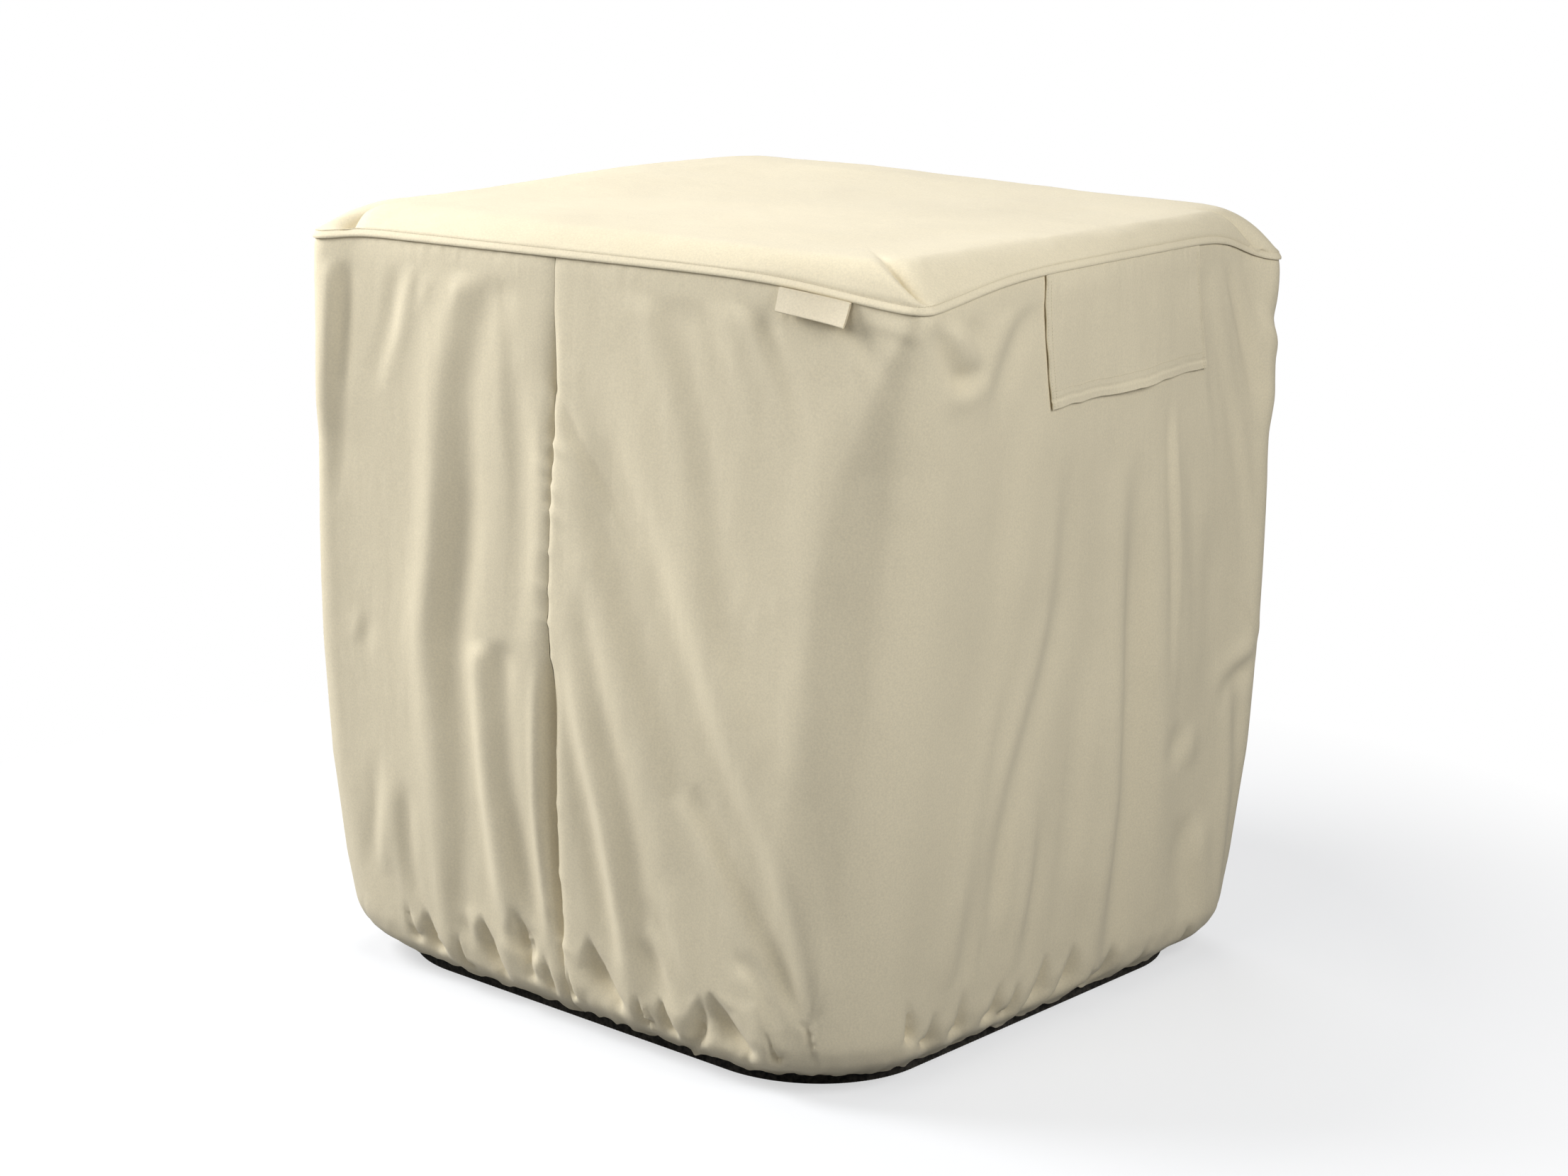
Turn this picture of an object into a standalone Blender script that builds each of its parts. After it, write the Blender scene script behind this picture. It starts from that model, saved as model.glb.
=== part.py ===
"""Fitted cloth cover for a square outdoor air conditioner.

The cover hangs from its top, which lies on the unit. It is a square top with a welted
seam, a long skirt in two panels, a sewn-on vent flap, a bare folded label, and the dark
elastic band that gathers the hem at the floor. Metres, +Z up. The origin is the middle
of the underside of the top, where it lies on the unit. The vent flap is on the +X face.
"""
import math
from collections import namedtuple

import bmesh
import bpy
from mathutils import Vector

# Half the width of the unit, the cloth's thickness, and the gap between sewn pieces
UNIT_HALF = 0.400
CLOTH = 0.002
GAP = 0.0004

# The welt is the last 9 mm of the top's cloth, and the skirt is tucked 6 mm behind it
WELT_HEIGHT = 0.009
SHOULDER_CURVE = 1.3
TUCK = 0.006

# The seam between the top and the skirt
SEAM_HEIGHT = -0.035
SEAM_HALF = 0.4366

# The hem and its band; the floor is a little below the band
HEM_HEIGHT = -0.976
HEM_SCALLOP = 0.0025
SCALLOPS = 18
BAND_TOP = -0.960
BAND_LOW = -0.989
BAND_CLOTH = 0.0016

# The vent flap and the label
FLAP_LOW = -0.196
FLAP_CLOTH = 0.0015
LABEL_LEFT = 0.267
LABEL_RIGHT = 0.360
LABEL_DROP = 0.027
LABEL_CLOTH = 0.0009
LABEL_FOLD = 0.0018

# The skirt's plan at each height: a rounded square, turned about the middle, with the
# radius of its corners in turn from the left one
Section = namedtuple("Section", "height half turn left front right back")
SECTIONS = (
    Section(-0.020, 0.4370, 2.0, 0.012, 0.016, 0.012, 0.012),
    Section(-0.070, 0.4370, 2.0, 0.012, 0.020, 0.012, 0.012),
    Section(-0.120, 0.4380, 1.6, 0.016, 0.050, 0.018, 0.018),
    Section(-0.240, 0.4400, 0.8, 0.022, 0.095, 0.024, 0.030),
    Section(-0.400, 0.4425, -0.6, 0.028, 0.115, 0.032, 0.045),
    Section(-0.560, 0.4440, -2.2, 0.038, 0.120, 0.044, 0.060),
    Section(-0.720, 0.4440, -3.6, 0.056, 0.120, 0.060, 0.075),
    Section(-0.860, 0.4420, -4.6, 0.086, 0.126, 0.090, 0.100),
    Section(-0.920, 0.4440, -5.0, 0.118, 0.138, 0.120, 0.125),
    Section(-0.945, 0.4350, -5.0, 0.136, 0.150, 0.138, 0.140),
    Section(-0.962, 0.4150, -5.0, 0.152, 0.158, 0.152, 0.155),
    Section(-0.970, 0.4035, -5.0, 0.160, 0.160, 0.160, 0.160),
    Section(-1.000, 0.4030, -5.0, 0.160, 0.160, 0.160, 0.160),
)
SECTION_CORNERS = ("left", "front", "right", "back")

# The rings of the top, from its flat middle out to the shoulder above the welt: how far
# each lies past the unit's edge, and what share of the drop to the welt it has made
Ring = namedtuple("Ring", "past corner share")
TOP_RINGS = (
    Ring(-0.040, 0.050, 0.00),
    Ring(-0.004, 0.040, 0.00),
    Ring(0.005, 0.036, 0.12),
    Ring(0.021, 0.024, 0.55),
)

# The four faces in turn, as seen from above, anticlockwise from the left corner
FACES = ("front", "right", "back", "left")

# How far the seam droops at each corner, over what width, and how far the corner sticks
# out as an ear, counted from the left corner
Corner = namedtuple("Corner", "droop width ear")
CORNERS = (
    Corner(0.008, 0.05, 0.011),
    Corner(0.020, 0.15, 0.004),
    Corner(0.036, 0.10, 0.020),
    Corner(0.012, 0.12, 0.008),
)
EAR_WIDTH = 0.045

# How much of an ear is left at each height below it
EarFade = namedtuple("EarFade", "height left")
EAR_FADE = (
    EarFade(-0.020, 1.00),
    EarFade(-0.250, 0.95),
    EarFade(-0.300, 0.60),
    EarFade(-0.480, 0.55),
    EarFade(-0.900, 0.00),
)

# The top is full at its back corner, where it stands up a little off the unit
TOP_LIFT = 0.012
TOP_LIFT_WIDTH = 0.55

# Lines that run down the skirt: a panel's edge or a flap's side. Each is a face and
# how far along it the line stands at a few heights, in metres from the face's middle.
Line = namedtuple("Line", "face path")
PANEL_SEAM = Line("front", ((-0.070, -0.055), (-0.240, -0.056), (-0.480, -0.062),
                            (-0.780, -0.054), (-0.980, -0.026)))
BACK_SEAM = Line("back", ((-0.070, 0.060), (-0.980, 0.030)))
FLAP_LEFT = Line("right", ((-0.070, -0.152), (-0.110, -0.146), (-0.198, -0.127),
                           (-0.980, -0.140)))
FLAP_RIGHT = Line("right", ((-0.070, 0.243), (-0.198, 0.262), (-0.980, 0.240)))

# Columns of cloth between one line and the next; a corner is named by its number
Span = namedtuple("Span", "start end columns")
RIGHT_PANEL = (
    Span(PANEL_SEAM, 1, 18),
    Span(1, FLAP_LEFT, 10),
    Span(FLAP_LEFT, FLAP_RIGHT, 14),
    Span(FLAP_RIGHT, 2, 9),
    Span(2, BACK_SEAM, 9),
)
LEFT_PANEL = (
    Span(BACK_SEAM, 3, 9),
    Span(3, 4, 17),
    Span(4, PANEL_SEAM, 14),
)

# Rows of cloth below the flap's lower edge, down to the hem
Rows = namedtuple("Rows", "top low count")
FLAP_ROWS = 4
BODY_ROWS = (
    Rows(FLAP_LOW, -0.800, 9),
    Rows(-0.800, -0.950, 4),
    Rows(-0.950, HEM_HEIGHT, 3),
)

# The main folds: a positive depth is a ridge and a negative one a valley. A path runs
# down the cloth as (along the face, height) and the width is that of the soft trough.
Fold = namedtuple("Fold", "face width depth path")
FOLDS = (
    Fold("front", 0.016, -0.010, ((-0.378, -0.070), (-0.380, -0.210), (-0.396, -0.360))),
    Fold("front", 0.024, 0.005, ((-0.230, -0.060), (-0.305, -0.200))),
    Fold("front", 0.048, -0.015, ((-0.155, -0.100), (-0.182, -0.260), (-0.198, -0.420),
                                  (-0.213, -0.580), (-0.195, -0.720), (-0.180, -0.820))),
    Fold("front", 0.028, -0.012, ((-0.126, -0.560), (-0.098, -0.670), (-0.096, -0.870))),
    Fold("front", 0.022, -0.010, ((-0.312, -0.730), (-0.343, -0.860))),
    Fold("front", 0.046, -0.016, ((-0.056, -0.400), (-0.064, -0.500), (-0.032, -0.660),
                                  (0.028, -0.840))),
    Fold("front", 0.048, -0.012, ((0.055, -0.290), (0.104, -0.415), (0.160, -0.560),
                                  (0.210, -0.645))),
    Fold("front", 0.030, 0.008, ((0.086, -0.070), (0.138, -0.290), (0.182, -0.420),
                                 (0.265, -0.620))),
    Fold("front", 0.030, -0.006, ((0.127, -0.070), (0.192, -0.290), (0.265, -0.510))),
    Fold("front", 0.028, -0.012, ((0.175, -0.655), (0.255, -0.745), (0.355, -0.905))),
    Fold("front", 0.024, -0.009, ((0.050, -0.710), (0.120, -0.925))),
    Fold("right", 0.022, 0.010, ((-0.402, -0.066), (-0.378, -0.112), (-0.350, -0.130))),
    Fold("right", 0.018, -0.010, ((-0.350, -0.162), (-0.318, -0.146))),
    Fold("right", 0.034, -0.015, ((0.117, -0.340), (0.104, -0.500), (0.086, -0.890))),
    Fold("right", 0.032, -0.009, ((-0.052, -0.450), (-0.100, -0.570), (-0.205, -0.790))),
    Fold("right", 0.024, -0.009, ((-0.081, -0.670), (-0.105, -0.915))),
    Fold("right", 0.020, 0.006, ((0.189, -0.230), (0.216, -0.660))),
    Fold("right", 0.026, -0.009, ((0.361, -0.655), (0.342, -0.935))),
    Fold("right", 0.036, 0.008, ((0.256, -0.670), (0.280, -0.925))),
    Fold("right", 0.020, -0.006, ((0.362, -0.500), (0.440, -0.600))),
    Fold("right", 0.018, 0.007, ((0.338, -0.070), (0.372, -0.165), (0.442, -0.275))),
    Fold("right", 0.014, 0.006, ((0.384, -0.080), (0.450, -0.215))),
    Fold("back", 0.040, -0.012, ((-0.260, -0.090), (-0.200, -0.420), (-0.250, -0.880))),
    Fold("back", 0.034, -0.010, ((0.190, -0.200), (0.240, -0.640))),
    Fold("back", 0.030, -0.010, ((-0.040, -0.560), (-0.090, -0.920))),
    Fold("left", 0.040, -0.012, ((-0.200, -0.080), (-0.260, -0.480), (-0.210, -0.860))),
    Fold("left", 0.036, -0.010, ((0.060, -0.320), (0.020, -0.900))),
    Fold("left", 0.034, -0.010, ((0.300, -0.090), (0.240, -0.500))),
)

# Where the folds begin under the welt, and over what length they fade in and out
FOLDS_START = -0.072
FADE_LENGTH = 0.030

# Valleys pulled into the hem by the elastic: where they stand on each face
Gather = namedtuple("Gather", "face width depth reach places")
GATHERS = (
    Gather("front", 0.024, -0.012, 0.080, (-0.272, -0.166, -0.092, 0.032, 0.200)),
    Gather("right", 0.024, -0.012, 0.070, (-0.280, -0.184, -0.044, 0.100, 0.274)),
    Gather("back", 0.030, -0.011, 0.080, (-0.300, -0.170, 0.110, 0.260)),
    Gather("left", 0.030, -0.011, 0.080, (-0.280, -0.110, 0.120, 0.270)),
)


def table_value(rows, height, column):
    """Read one column of a table that is sorted from the top down."""
    for upper, lower in zip(rows, rows[1:]):
        if height >= lower.height:
            share = (upper.height - height) / (upper.height - lower.height)
            share = min(max(share, 0.0), 1.0)
            return getattr(upper, column) * (1 - share) + getattr(lower, column) * share
    return getattr(rows[-1], column)


def place_round(face, along, height):
    """Turn a place on a face into the way round the cover, from 0 to 4."""
    half = table_value(SECTIONS, height, "half")
    turn = math.radians(table_value(SECTIONS, height, "turn"))
    share = (along - half * math.sin(turn)) / (half * math.cos(turn))
    return FACES.index(face) + (share + 1) / 2


def line_round(line, height):
    """Where a line stands round the cover at a height; a number is a corner."""
    if not isinstance(line, Line):
        return float(line)
    (_, along) = line.path[-1]
    for (upper, first), (lower, second) in zip(line.path, line.path[1:]):
        if height >= lower:
            share = min(max((upper - height) / (upper - lower), 0.0), 1.0)
            along = first * (1 - share) + second * share
            break
    return place_round(line.face, along, height)


def gap_round(first, second):
    """Shortest way round between two places, in metres."""
    apart = abs(first - second) % 4
    return min(apart, 4 - apart) * 2 * SEAM_HALF


def seam_height(around):
    """Height of the welt's lower edge, which droops at the corners."""
    height = SEAM_HEIGHT
    for number, corner in enumerate(CORNERS):
        height -= corner.droop * math.exp(-(gap_round(around, number) / corner.width) ** 2)
    return height


def ear_push(around, height):
    """How far the cloth is pushed out by the ears at the corners."""
    left = table_value(EAR_FADE, height, "left")
    return left * sum(corner.ear * math.exp(-(gap_round(around, number) / EAR_WIDTH) ** 2)
                      for number, corner in enumerate(CORNERS))


def stroke_push(around, height, width, depth, path):
    """Push of a soft stroke drawn down the cloth, from its nearest stretch."""
    nearest = 10.0
    for (first, top), (second, low) in zip(path, path[1:]):
        run = Vector(((second - first) * 2 * SEAM_HALF, low - top))
        apart = (around - first + 2) % 4 - 2
        here = Vector((apart * 2 * SEAM_HALF, height - top))
        share = min(max(here.dot(run) / run.length_squared, 0.0), 1.0)
        nearest = min(nearest, (here - run * share).length)
    return depth * math.exp(-(nearest / width) ** 2)


def fold_strokes():
    """Every fold and gather as a stroke round the cover."""
    strokes = []
    for fold in FOLDS:
        path = [(place_round(fold.face, along, height), height) for along, height in fold.path]
        strokes.append((fold.width, fold.depth, path))
    for gather in GATHERS:
        for along in gather.places:
            around = place_round(gather.face, along, BAND_TOP)
            path = [(around, BAND_TOP + gather.reach), (around, BAND_TOP + CLOTH)]
            strokes.append((gather.width, gather.depth, path))
    return strokes


STROKES = fold_strokes()


def fade(height):
    """Folds die out at the welt above and at the band below."""
    below = min(max((FOLDS_START - height) / FADE_LENGTH, 0.0), 1.0)
    above = min(max((height - BAND_TOP) / FADE_LENGTH, 0.0), 1.0)
    return below * above


def rounded_square(share, half, corner):
    """Point and outward direction of a rounded square, in its face's own frame."""
    flat = half - corner
    if abs(share) * half <= flat:
        return Vector((half, share * half)), Vector((1.0, 0.0))
    angle = math.atan(share)
    out, side = math.cos(angle), abs(math.sin(angle))
    reach = flat * (out + side) + math.sqrt(corner ** 2 - flat ** 2 * (out - side) ** 2)
    point = Vector((reach * out, reach * side))
    direction = (point - Vector((flat, flat))).normalized()
    mirror = math.copysign(1.0, share)
    return Vector((point.x, point.y * mirror)), Vector((direction.x, direction.y * mirror))


def plan_point(around, half, corner, turn, push=0.0):
    """Plan position of a place round the cover, pushed outwards by a distance."""
    face = int(around) if around < 4 else 3
    point, direction = rounded_square(2 * (around - face) - 1, half, corner)
    point = point + direction * push
    angle = math.radians(turn) + (face - 1) * math.pi / 2
    x = point.x * math.cos(angle) - point.y * math.sin(angle)
    y = point.x * math.sin(angle) + point.y * math.cos(angle)
    return x, y


def skirt_point(around, height, push=0.0):
    """A place on the outer side of the skirt."""
    half = table_value(SECTIONS, height, "half")
    corner = table_value(SECTIONS, height, SECTION_CORNERS[round(around) % 4])
    turn = table_value(SECTIONS, height, "turn")
    strength = fade(height)
    push += ear_push(around, height)
    if strength > 0:
        push += strength * sum(stroke_push(around, height, *stroke) for stroke in STROKES)
    x, y = plan_point(around % 4, half, corner, turn, push)
    return Vector((x, y, height))


def column_lines(spans):
    """The start, end and share of each column's edge in a run of spans."""
    lines = [(spans[0].start, spans[0].end, 0.0)]
    for span in spans:
        lines += [(span.start, span.end, n / span.columns)
                  for n in range(1, span.columns + 1)]
    return lines


def column_round(line, height):
    """Where one column's edge stands round the cover at a height."""
    start, end, share = line
    first = line_round(start, height)
    second = line_round(end, height)
    if second < first:
        second += 4
    return first * (1 - share) + second * share


def row_heights():
    """Heights of the rows from the flap's lower edge down."""
    heights = []
    for rows in BODY_ROWS:
        heights += [rows.top + (rows.low - rows.top) * n / rows.count
                    for n in range(1, rows.count + 1)]
    return heights


def column_heights(line):
    """Heights down one column, from the tuck under the welt to the hem."""
    around = column_round(line, SEAM_HEIGHT)
    seam = seam_height(around)
    heights = [seam + TUCK, seam]
    heights += [seam + (FLAP_LOW - seam) * n / FLAP_ROWS for n in range(1, FLAP_ROWS + 1)]
    heights += row_heights()
    heights[-1] += HEM_SCALLOP * math.sin(around * math.pi * SCALLOPS / 2)
    return heights


def sheet(name, columns, rows, place, thickness, outward, closed=False,
          fill_above=None):
    """A sheet of cloth: a grid whose points are placed, then given its thickness.

    A closed sheet runs all round, and fill_above closes its hole above a height.
    """
    mesh = bpy.data.meshes.new(name)
    bm = bmesh.new()
    bmesh.ops.create_grid(bm, x_segments=columns, y_segments=rows, size=1.0)
    for vert in bm.verts:
        column = round((vert.co.x + 1) / 2 * columns)
        row = round((1 - vert.co.y) / 2 * rows)
        vert.co = place(column, row)
    if closed:
        bmesh.ops.remove_doubles(bm, verts=bm.verts, dist=0.00005)
    if fill_above is not None:
        inner = [edge for edge in bm.edges if edge.is_boundary
                 and min(vert.co.z for vert in edge.verts) > fill_above]
        flat = bmesh.ops.edgeloop_fill(bm, edges=inner)["faces"]
        bmesh.ops.poke(bm, faces=flat)
        bmesh.ops.recalc_face_normals(bm, faces=bm.faces)
    bm.to_mesh(mesh)
    bm.free()
    mesh.shade_smooth()
    piece = bpy.data.objects.new(name, mesh)
    solidify = piece.modifiers.new("cloth", "SOLIDIFY")
    solidify.thickness = thickness
    solidify.offset = 1.0 if outward else -1.0
    solidify.use_even_offset = True
    return piece


def make_skirt(name, spans):
    """One panel of the skirt, from its tuck under the welt to the hem."""
    lines = column_lines(spans)
    heights = [column_heights(line) for line in lines]
    last = len(lines) - 1

    def place(column, row):
        height = heights[column][row]
        around = column_round(lines[column], height)
        step_in = {0: GAP, last: -GAP}.get(column, 0.0)
        return skirt_point(around + step_in / (2 * SEAM_HALF), height)

    return sheet(name, last, len(heights[0]) - 1, place, CLOTH, outward=False)


def make_top():
    """The square top, its sloping shoulder and the welt along the seam."""
    lines = column_lines(RIGHT_PANEL + LEFT_PANEL)
    rings = len(TOP_RINGS)

    def place(column, row):
        around = column_round(lines[column], SEAM_HEIGHT) % 4
        seam = seam_height(around)
        shoulder = seam + WELT_HEIGHT
        if row < rings:
            ring = TOP_RINGS[row]
            turn = SECTIONS[0].turn * ring.share
            push = ear_push(around, seam) * ring.share
            x, y = plan_point(around, UNIT_HALF + ring.past, ring.corner, turn, push)
            lift = TOP_LIFT * math.exp(-(gap_round(around, 3) / TOP_LIFT_WIDTH) ** 4)
            share = ring.share ** SHOULDER_CURVE
            return Vector((x, y, shoulder * share + lift * (1 - share)))
        x, y, _ = skirt_point(around, seam, GAP)
        if row == rings:
            return Vector((x, y, shoulder))
        return Vector((x, y, seam))

    return sheet("top_panel", len(lines) - 1, rings + 1, place, CLOTH, outward=True,
                 closed=True, fill_above=2 * SEAM_HEIGHT / 3)


def make_band():
    """The dark elastic band that the hem is gathered on."""
    lines = column_lines(RIGHT_PANEL + LEFT_PANEL)

    def place(column, row):
        height = (BAND_TOP, BAND_LOW)[row]
        around = column_round(lines[column], HEM_HEIGHT)
        lowest = SECTIONS[-1]
        x, y = plan_point(around % 4, lowest.half, lowest.left, lowest.turn, -CLOTH - GAP)
        return Vector((x, y, height))

    return sheet("hem_band", len(lines) - 1, 1, place, BAND_CLOTH, outward=False, closed=True)


def make_flap():
    """The flap over the vent, lying on the skirt below the welt."""
    spans = [span for span in RIGHT_PANEL if span.start is FLAP_LEFT]
    lines = column_lines(spans)
    heights = [column_heights(line)[1:FLAP_ROWS + 2] for line in lines]

    def place(column, row):
        height = heights[column][row] - (GAP if row == 0 else 0.0)
        around = column_round(lines[column], height)
        return skirt_point(around, height, GAP)

    return sheet("vent_flap", len(lines) - 1, FLAP_ROWS, place, FLAP_CLOTH, outward=True)


def make_label():
    """The bare label: a strip folded double, hanging from the welt."""
    across = 4
    round_steps = 4

    def place(column, row):
        along = LABEL_LEFT + (LABEL_RIGHT - LABEL_LEFT) * column / across
        around = place_round("front", along, SEAM_HEIGHT)
        top = seam_height(around) - GAP
        low = top - LABEL_DROP + LABEL_FOLD
        clear = 3 * GAP + LABEL_CLOTH + LABEL_FOLD
        if row == 0:
            return skirt_point(around, top, clear + LABEL_FOLD)
        if row == round_steps + 2:
            return skirt_point(around, top, clear - LABEL_FOLD)
        angle = math.pi * (row - 1) / round_steps
        return skirt_point(around, low - LABEL_FOLD * math.sin(angle),
                           clear + LABEL_FOLD * math.cos(angle))

    return sheet("label", across, round_steps + 2, place, LABEL_CLOTH, outward=False)


def cloth_material(name, colour, roughness):
    """A plain cloth colour for one piece."""
    material = bpy.data.materials.new(name)
    material.use_nodes = True
    shader = material.node_tree.nodes["Principled BSDF"]
    shader.inputs["Base Color"].default_value = (*colour, 1.0)
    shader.inputs["Roughness"].default_value = roughness
    shader.inputs["Metallic"].default_value = 0.0
    return material


def main():
    for old in list(bpy.data.objects):
        bpy.data.objects.remove(old)
    collection = bpy.data.collections.new("air_conditioner_cover")
    bpy.context.scene.collection.children.link(collection)
    cream = (0.74, 0.66, 0.50)
    pieces = (
        (make_top(), cream, 0.80),
        (make_skirt("skirt_right", RIGHT_PANEL), cream, 0.85),
        (make_skirt("skirt_left", LEFT_PANEL), cream, 0.85),
        (make_flap(), cream, 0.80),
        (make_label(), (0.86, 0.82, 0.72), 0.60),
        (make_band(), (0.03, 0.025, 0.02), 0.90),
    )
    for piece, colour, roughness in pieces:
        piece.data.materials.append(cloth_material(piece.name + "_cloth", colour, roughness))
        collection.objects.link(piece)


main()
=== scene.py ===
"""Fitted cloth cover for a square outdoor air conditioner, as fine meshes in the CAD frame.

Metres, +Z up. The origin is the middle of the underside of the top. A place on the cover
is given as how far round it stands, from 0 at the left corner through 1 at the front and
2 at the right corner to 4, and as a height. A place on a face is metres from its middle.
"""

import math
from collections import namedtuple

import bpy
import numpy as np
from mathutils import Matrix, Vector


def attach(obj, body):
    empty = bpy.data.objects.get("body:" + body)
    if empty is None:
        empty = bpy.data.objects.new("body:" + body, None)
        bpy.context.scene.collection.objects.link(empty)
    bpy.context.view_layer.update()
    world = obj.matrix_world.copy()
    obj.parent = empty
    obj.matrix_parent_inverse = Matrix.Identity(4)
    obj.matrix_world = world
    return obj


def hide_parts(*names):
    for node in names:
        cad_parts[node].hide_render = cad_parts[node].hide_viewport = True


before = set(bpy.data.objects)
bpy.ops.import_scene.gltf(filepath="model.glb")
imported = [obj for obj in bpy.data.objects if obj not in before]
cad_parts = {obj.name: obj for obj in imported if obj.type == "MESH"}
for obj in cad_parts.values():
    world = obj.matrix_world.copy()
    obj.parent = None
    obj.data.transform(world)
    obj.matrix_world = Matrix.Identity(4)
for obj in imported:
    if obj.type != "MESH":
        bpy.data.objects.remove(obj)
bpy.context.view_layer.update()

bl_info = {
    "name": "Air conditioner cover",
    "version": (1, 0, 0),
    "blender": (4, 2, 0),
    "location": "3D View > Sidebar > Cover",
    "description": "Builds a fitted cloth cover with folds, welt, vent flap and elastic hem",
    "category": "Add Mesh",
}

# Half the width of the unit, and the gap between sewn pieces
UNIT_HALF = 0.400
GAP = 0.0004

# The seam between the top and the skirt
SEAM_HEIGHT = -0.035
SEAM_HALF = 0.4366
ROUND = 2 * SEAM_HALF
WELT_HEIGHT = 0.009
SHOULDER_CURVE = 1.3

# The welt's rings from its top down: height over the seam, and how far it stands out
WELT_PROFILE = (
    (WELT_HEIGHT + 0.0012, -0.0036),
    (WELT_HEIGHT + 0.0002, -0.0037),
    (WELT_HEIGHT - 0.0014, -0.0026),
    (WELT_HEIGHT - 0.0030, -0.0016),
    (WELT_HEIGHT * 0.5, -0.0007),
    (0.0028, 0.0002),
    (0.0012, 0.0003),
    (0.0, -0.0002),
)
WELT_STAND = 0.0012
STITCH_STAND = -0.0022

# How far the skirt's upper edge is tucked under the welt, upwards and inwards
TUCK = 0.006
WELT_TUCK = 0.0019

# The hem with its waves and scallops, its band and the floor
HEM_HEIGHT = -0.9735
HEM_WAVE = 0.0030
POCKET_LIFT = 0.0065
SCALLOP_WIDTH = 0.012
SCALLOP_REACH = 0.034
SCALLOP_SAG = 0.6
BAND_TOP = -0.960
BAND_LOW = -0.989
FLOOR_HEIGHT = -0.990

# The skirt's plan at each height: a rounded square, turned about the middle, with the
# radius of its corners in turn from the left one
Section = namedtuple("Section", "height half turn left front right back")
SECTIONS = (
    Section(0.000, 0.4370, 2.0, 0.012, 0.014, 0.012, 0.012),
    Section(-0.070, 0.4370, 2.0, 0.012, 0.020, 0.012, 0.012),
    Section(-0.120, 0.4380, 1.6, 0.016, 0.050, 0.018, 0.018),
    Section(-0.240, 0.4400, 0.8, 0.022, 0.095, 0.024, 0.030),
    Section(-0.400, 0.4425, -0.6, 0.028, 0.115, 0.032, 0.045),
    Section(-0.560, 0.4440, -2.2, 0.038, 0.120, 0.044, 0.060),
    Section(-0.720, 0.4440, -3.6, 0.056, 0.120, 0.060, 0.075),
    Section(-0.860, 0.4420, -4.6, 0.086, 0.126, 0.090, 0.100),
    Section(-0.925, 0.4430, -5.0, 0.118, 0.138, 0.120, 0.125),
    Section(-0.950, 0.4370, -5.0, 0.136, 0.150, 0.138, 0.140),
    Section(-0.966, 0.4200, -5.0, 0.152, 0.158, 0.152, 0.155),
    Section(-0.975, 0.4035, -5.0, 0.160, 0.160, 0.160, 0.160),
    Section(-1.030, 0.4030, -5.0, 0.160, 0.160, 0.160, 0.160),
)
SECTION_CORNERS = ("left", "front", "right", "back")
TABLE_STEP = 0.002
TABLE_BLUR = 0.006

# The rings of the top's edge: how far past the unit, corner radius, share of the drop
Ring = namedtuple("Ring", "past corner share")
TOP_EDGE = (
    Ring(-0.075, 0.060, 0.00),
    Ring(-0.040, 0.055, 0.012),
    Ring(-0.018, 0.050, 0.045),
    Ring(0.000, 0.042, 0.14),
    Ring(0.020, 0.027, 0.50),
    Ring(0.0366, 0.014, 1.00),
)

# The four faces in turn, as seen from above, anticlockwise from the left corner
FACES = ("front", "right", "back", "left")

# How far the seam droops at each corner, over what width, and how far each sticks out
Corner = namedtuple("Corner", "droop width ear")
CORNERS = (
    Corner(0.008, 0.05, 0.011),
    Corner(0.020, 0.15, 0.004),
    Corner(0.036, 0.10, 0.020),
    Corner(0.012, 0.12, 0.008),
)
EAR_WIDTH = 0.045
EarFade = namedtuple("EarFade", "height left")
EAR_FADE = (
    EarFade(0.000, 1.00),
    EarFade(-0.250, 0.95),
    EarFade(-0.300, 0.60),
    EarFade(-0.480, 0.55),
    EarFade(-0.900, 0.00),
    EarFade(-1.030, 0.00),
)

# Creases of the shoulder: where each stands round the cover, how far its top end stands to
# the right, the side on which the cloth falls away from it, how far and over what width
Crease = namedtuple("Crease", "around lean side drop width")
CREASES = (
    Crease(0.080, -0.046, -1, 0.024, 0.020),
    Crease(1.000, -0.030, 1, 0.017, 0.014),
    Crease(1.935, -0.010, 1, 0.026, 0.018),
)
CREASE_FOLD = 0.0035

TOP_LIFT = 0.012
TOP_LIFT_WIDTH = 0.55

# Lines that run down the skirt: a panel's edge or a flap's side
Line = namedtuple("Line", "face path")
PANEL_SEAM = Line("front", ((-0.070, -0.055), (-0.240, -0.056), (-0.480, -0.062),
                            (-0.780, -0.054), (-0.980, -0.026)))
BACK_SEAM = Line("back", ((-0.070, 0.060), (-0.980, 0.030)))
FLAP_LEFT = Line("right", ((-0.070, -0.152), (-0.110, -0.146), (-0.198, -0.127),
                           (-0.980, -0.140)))
FLAP_RIGHT = Line("right", ((-0.070, 0.243), (-0.198, 0.262), (-0.980, 0.240)))

# Columns of cloth between one line and the next; a corner is named by its number
Span = namedtuple("Span", "start end columns")
RIGHT_PANEL = (Span(PANEL_SEAM, 1, 98), Span(1, 2, 156), Span(2, BACK_SEAM, 58))
LEFT_PANEL = (Span(BACK_SEAM, 3, 58), Span(3, 4, 110), Span(4, PANEL_SEAM, 84))
TOP_COLUMNS = (Span(0, 1, 260), Span(1, 2, 260), Span(2, 3, 80), Span(3, 4, 80))
SKIRT_ROWS = 152
TOP_INNER_RINGS = 26
TOP_EDGE_RINGS = 30

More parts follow.
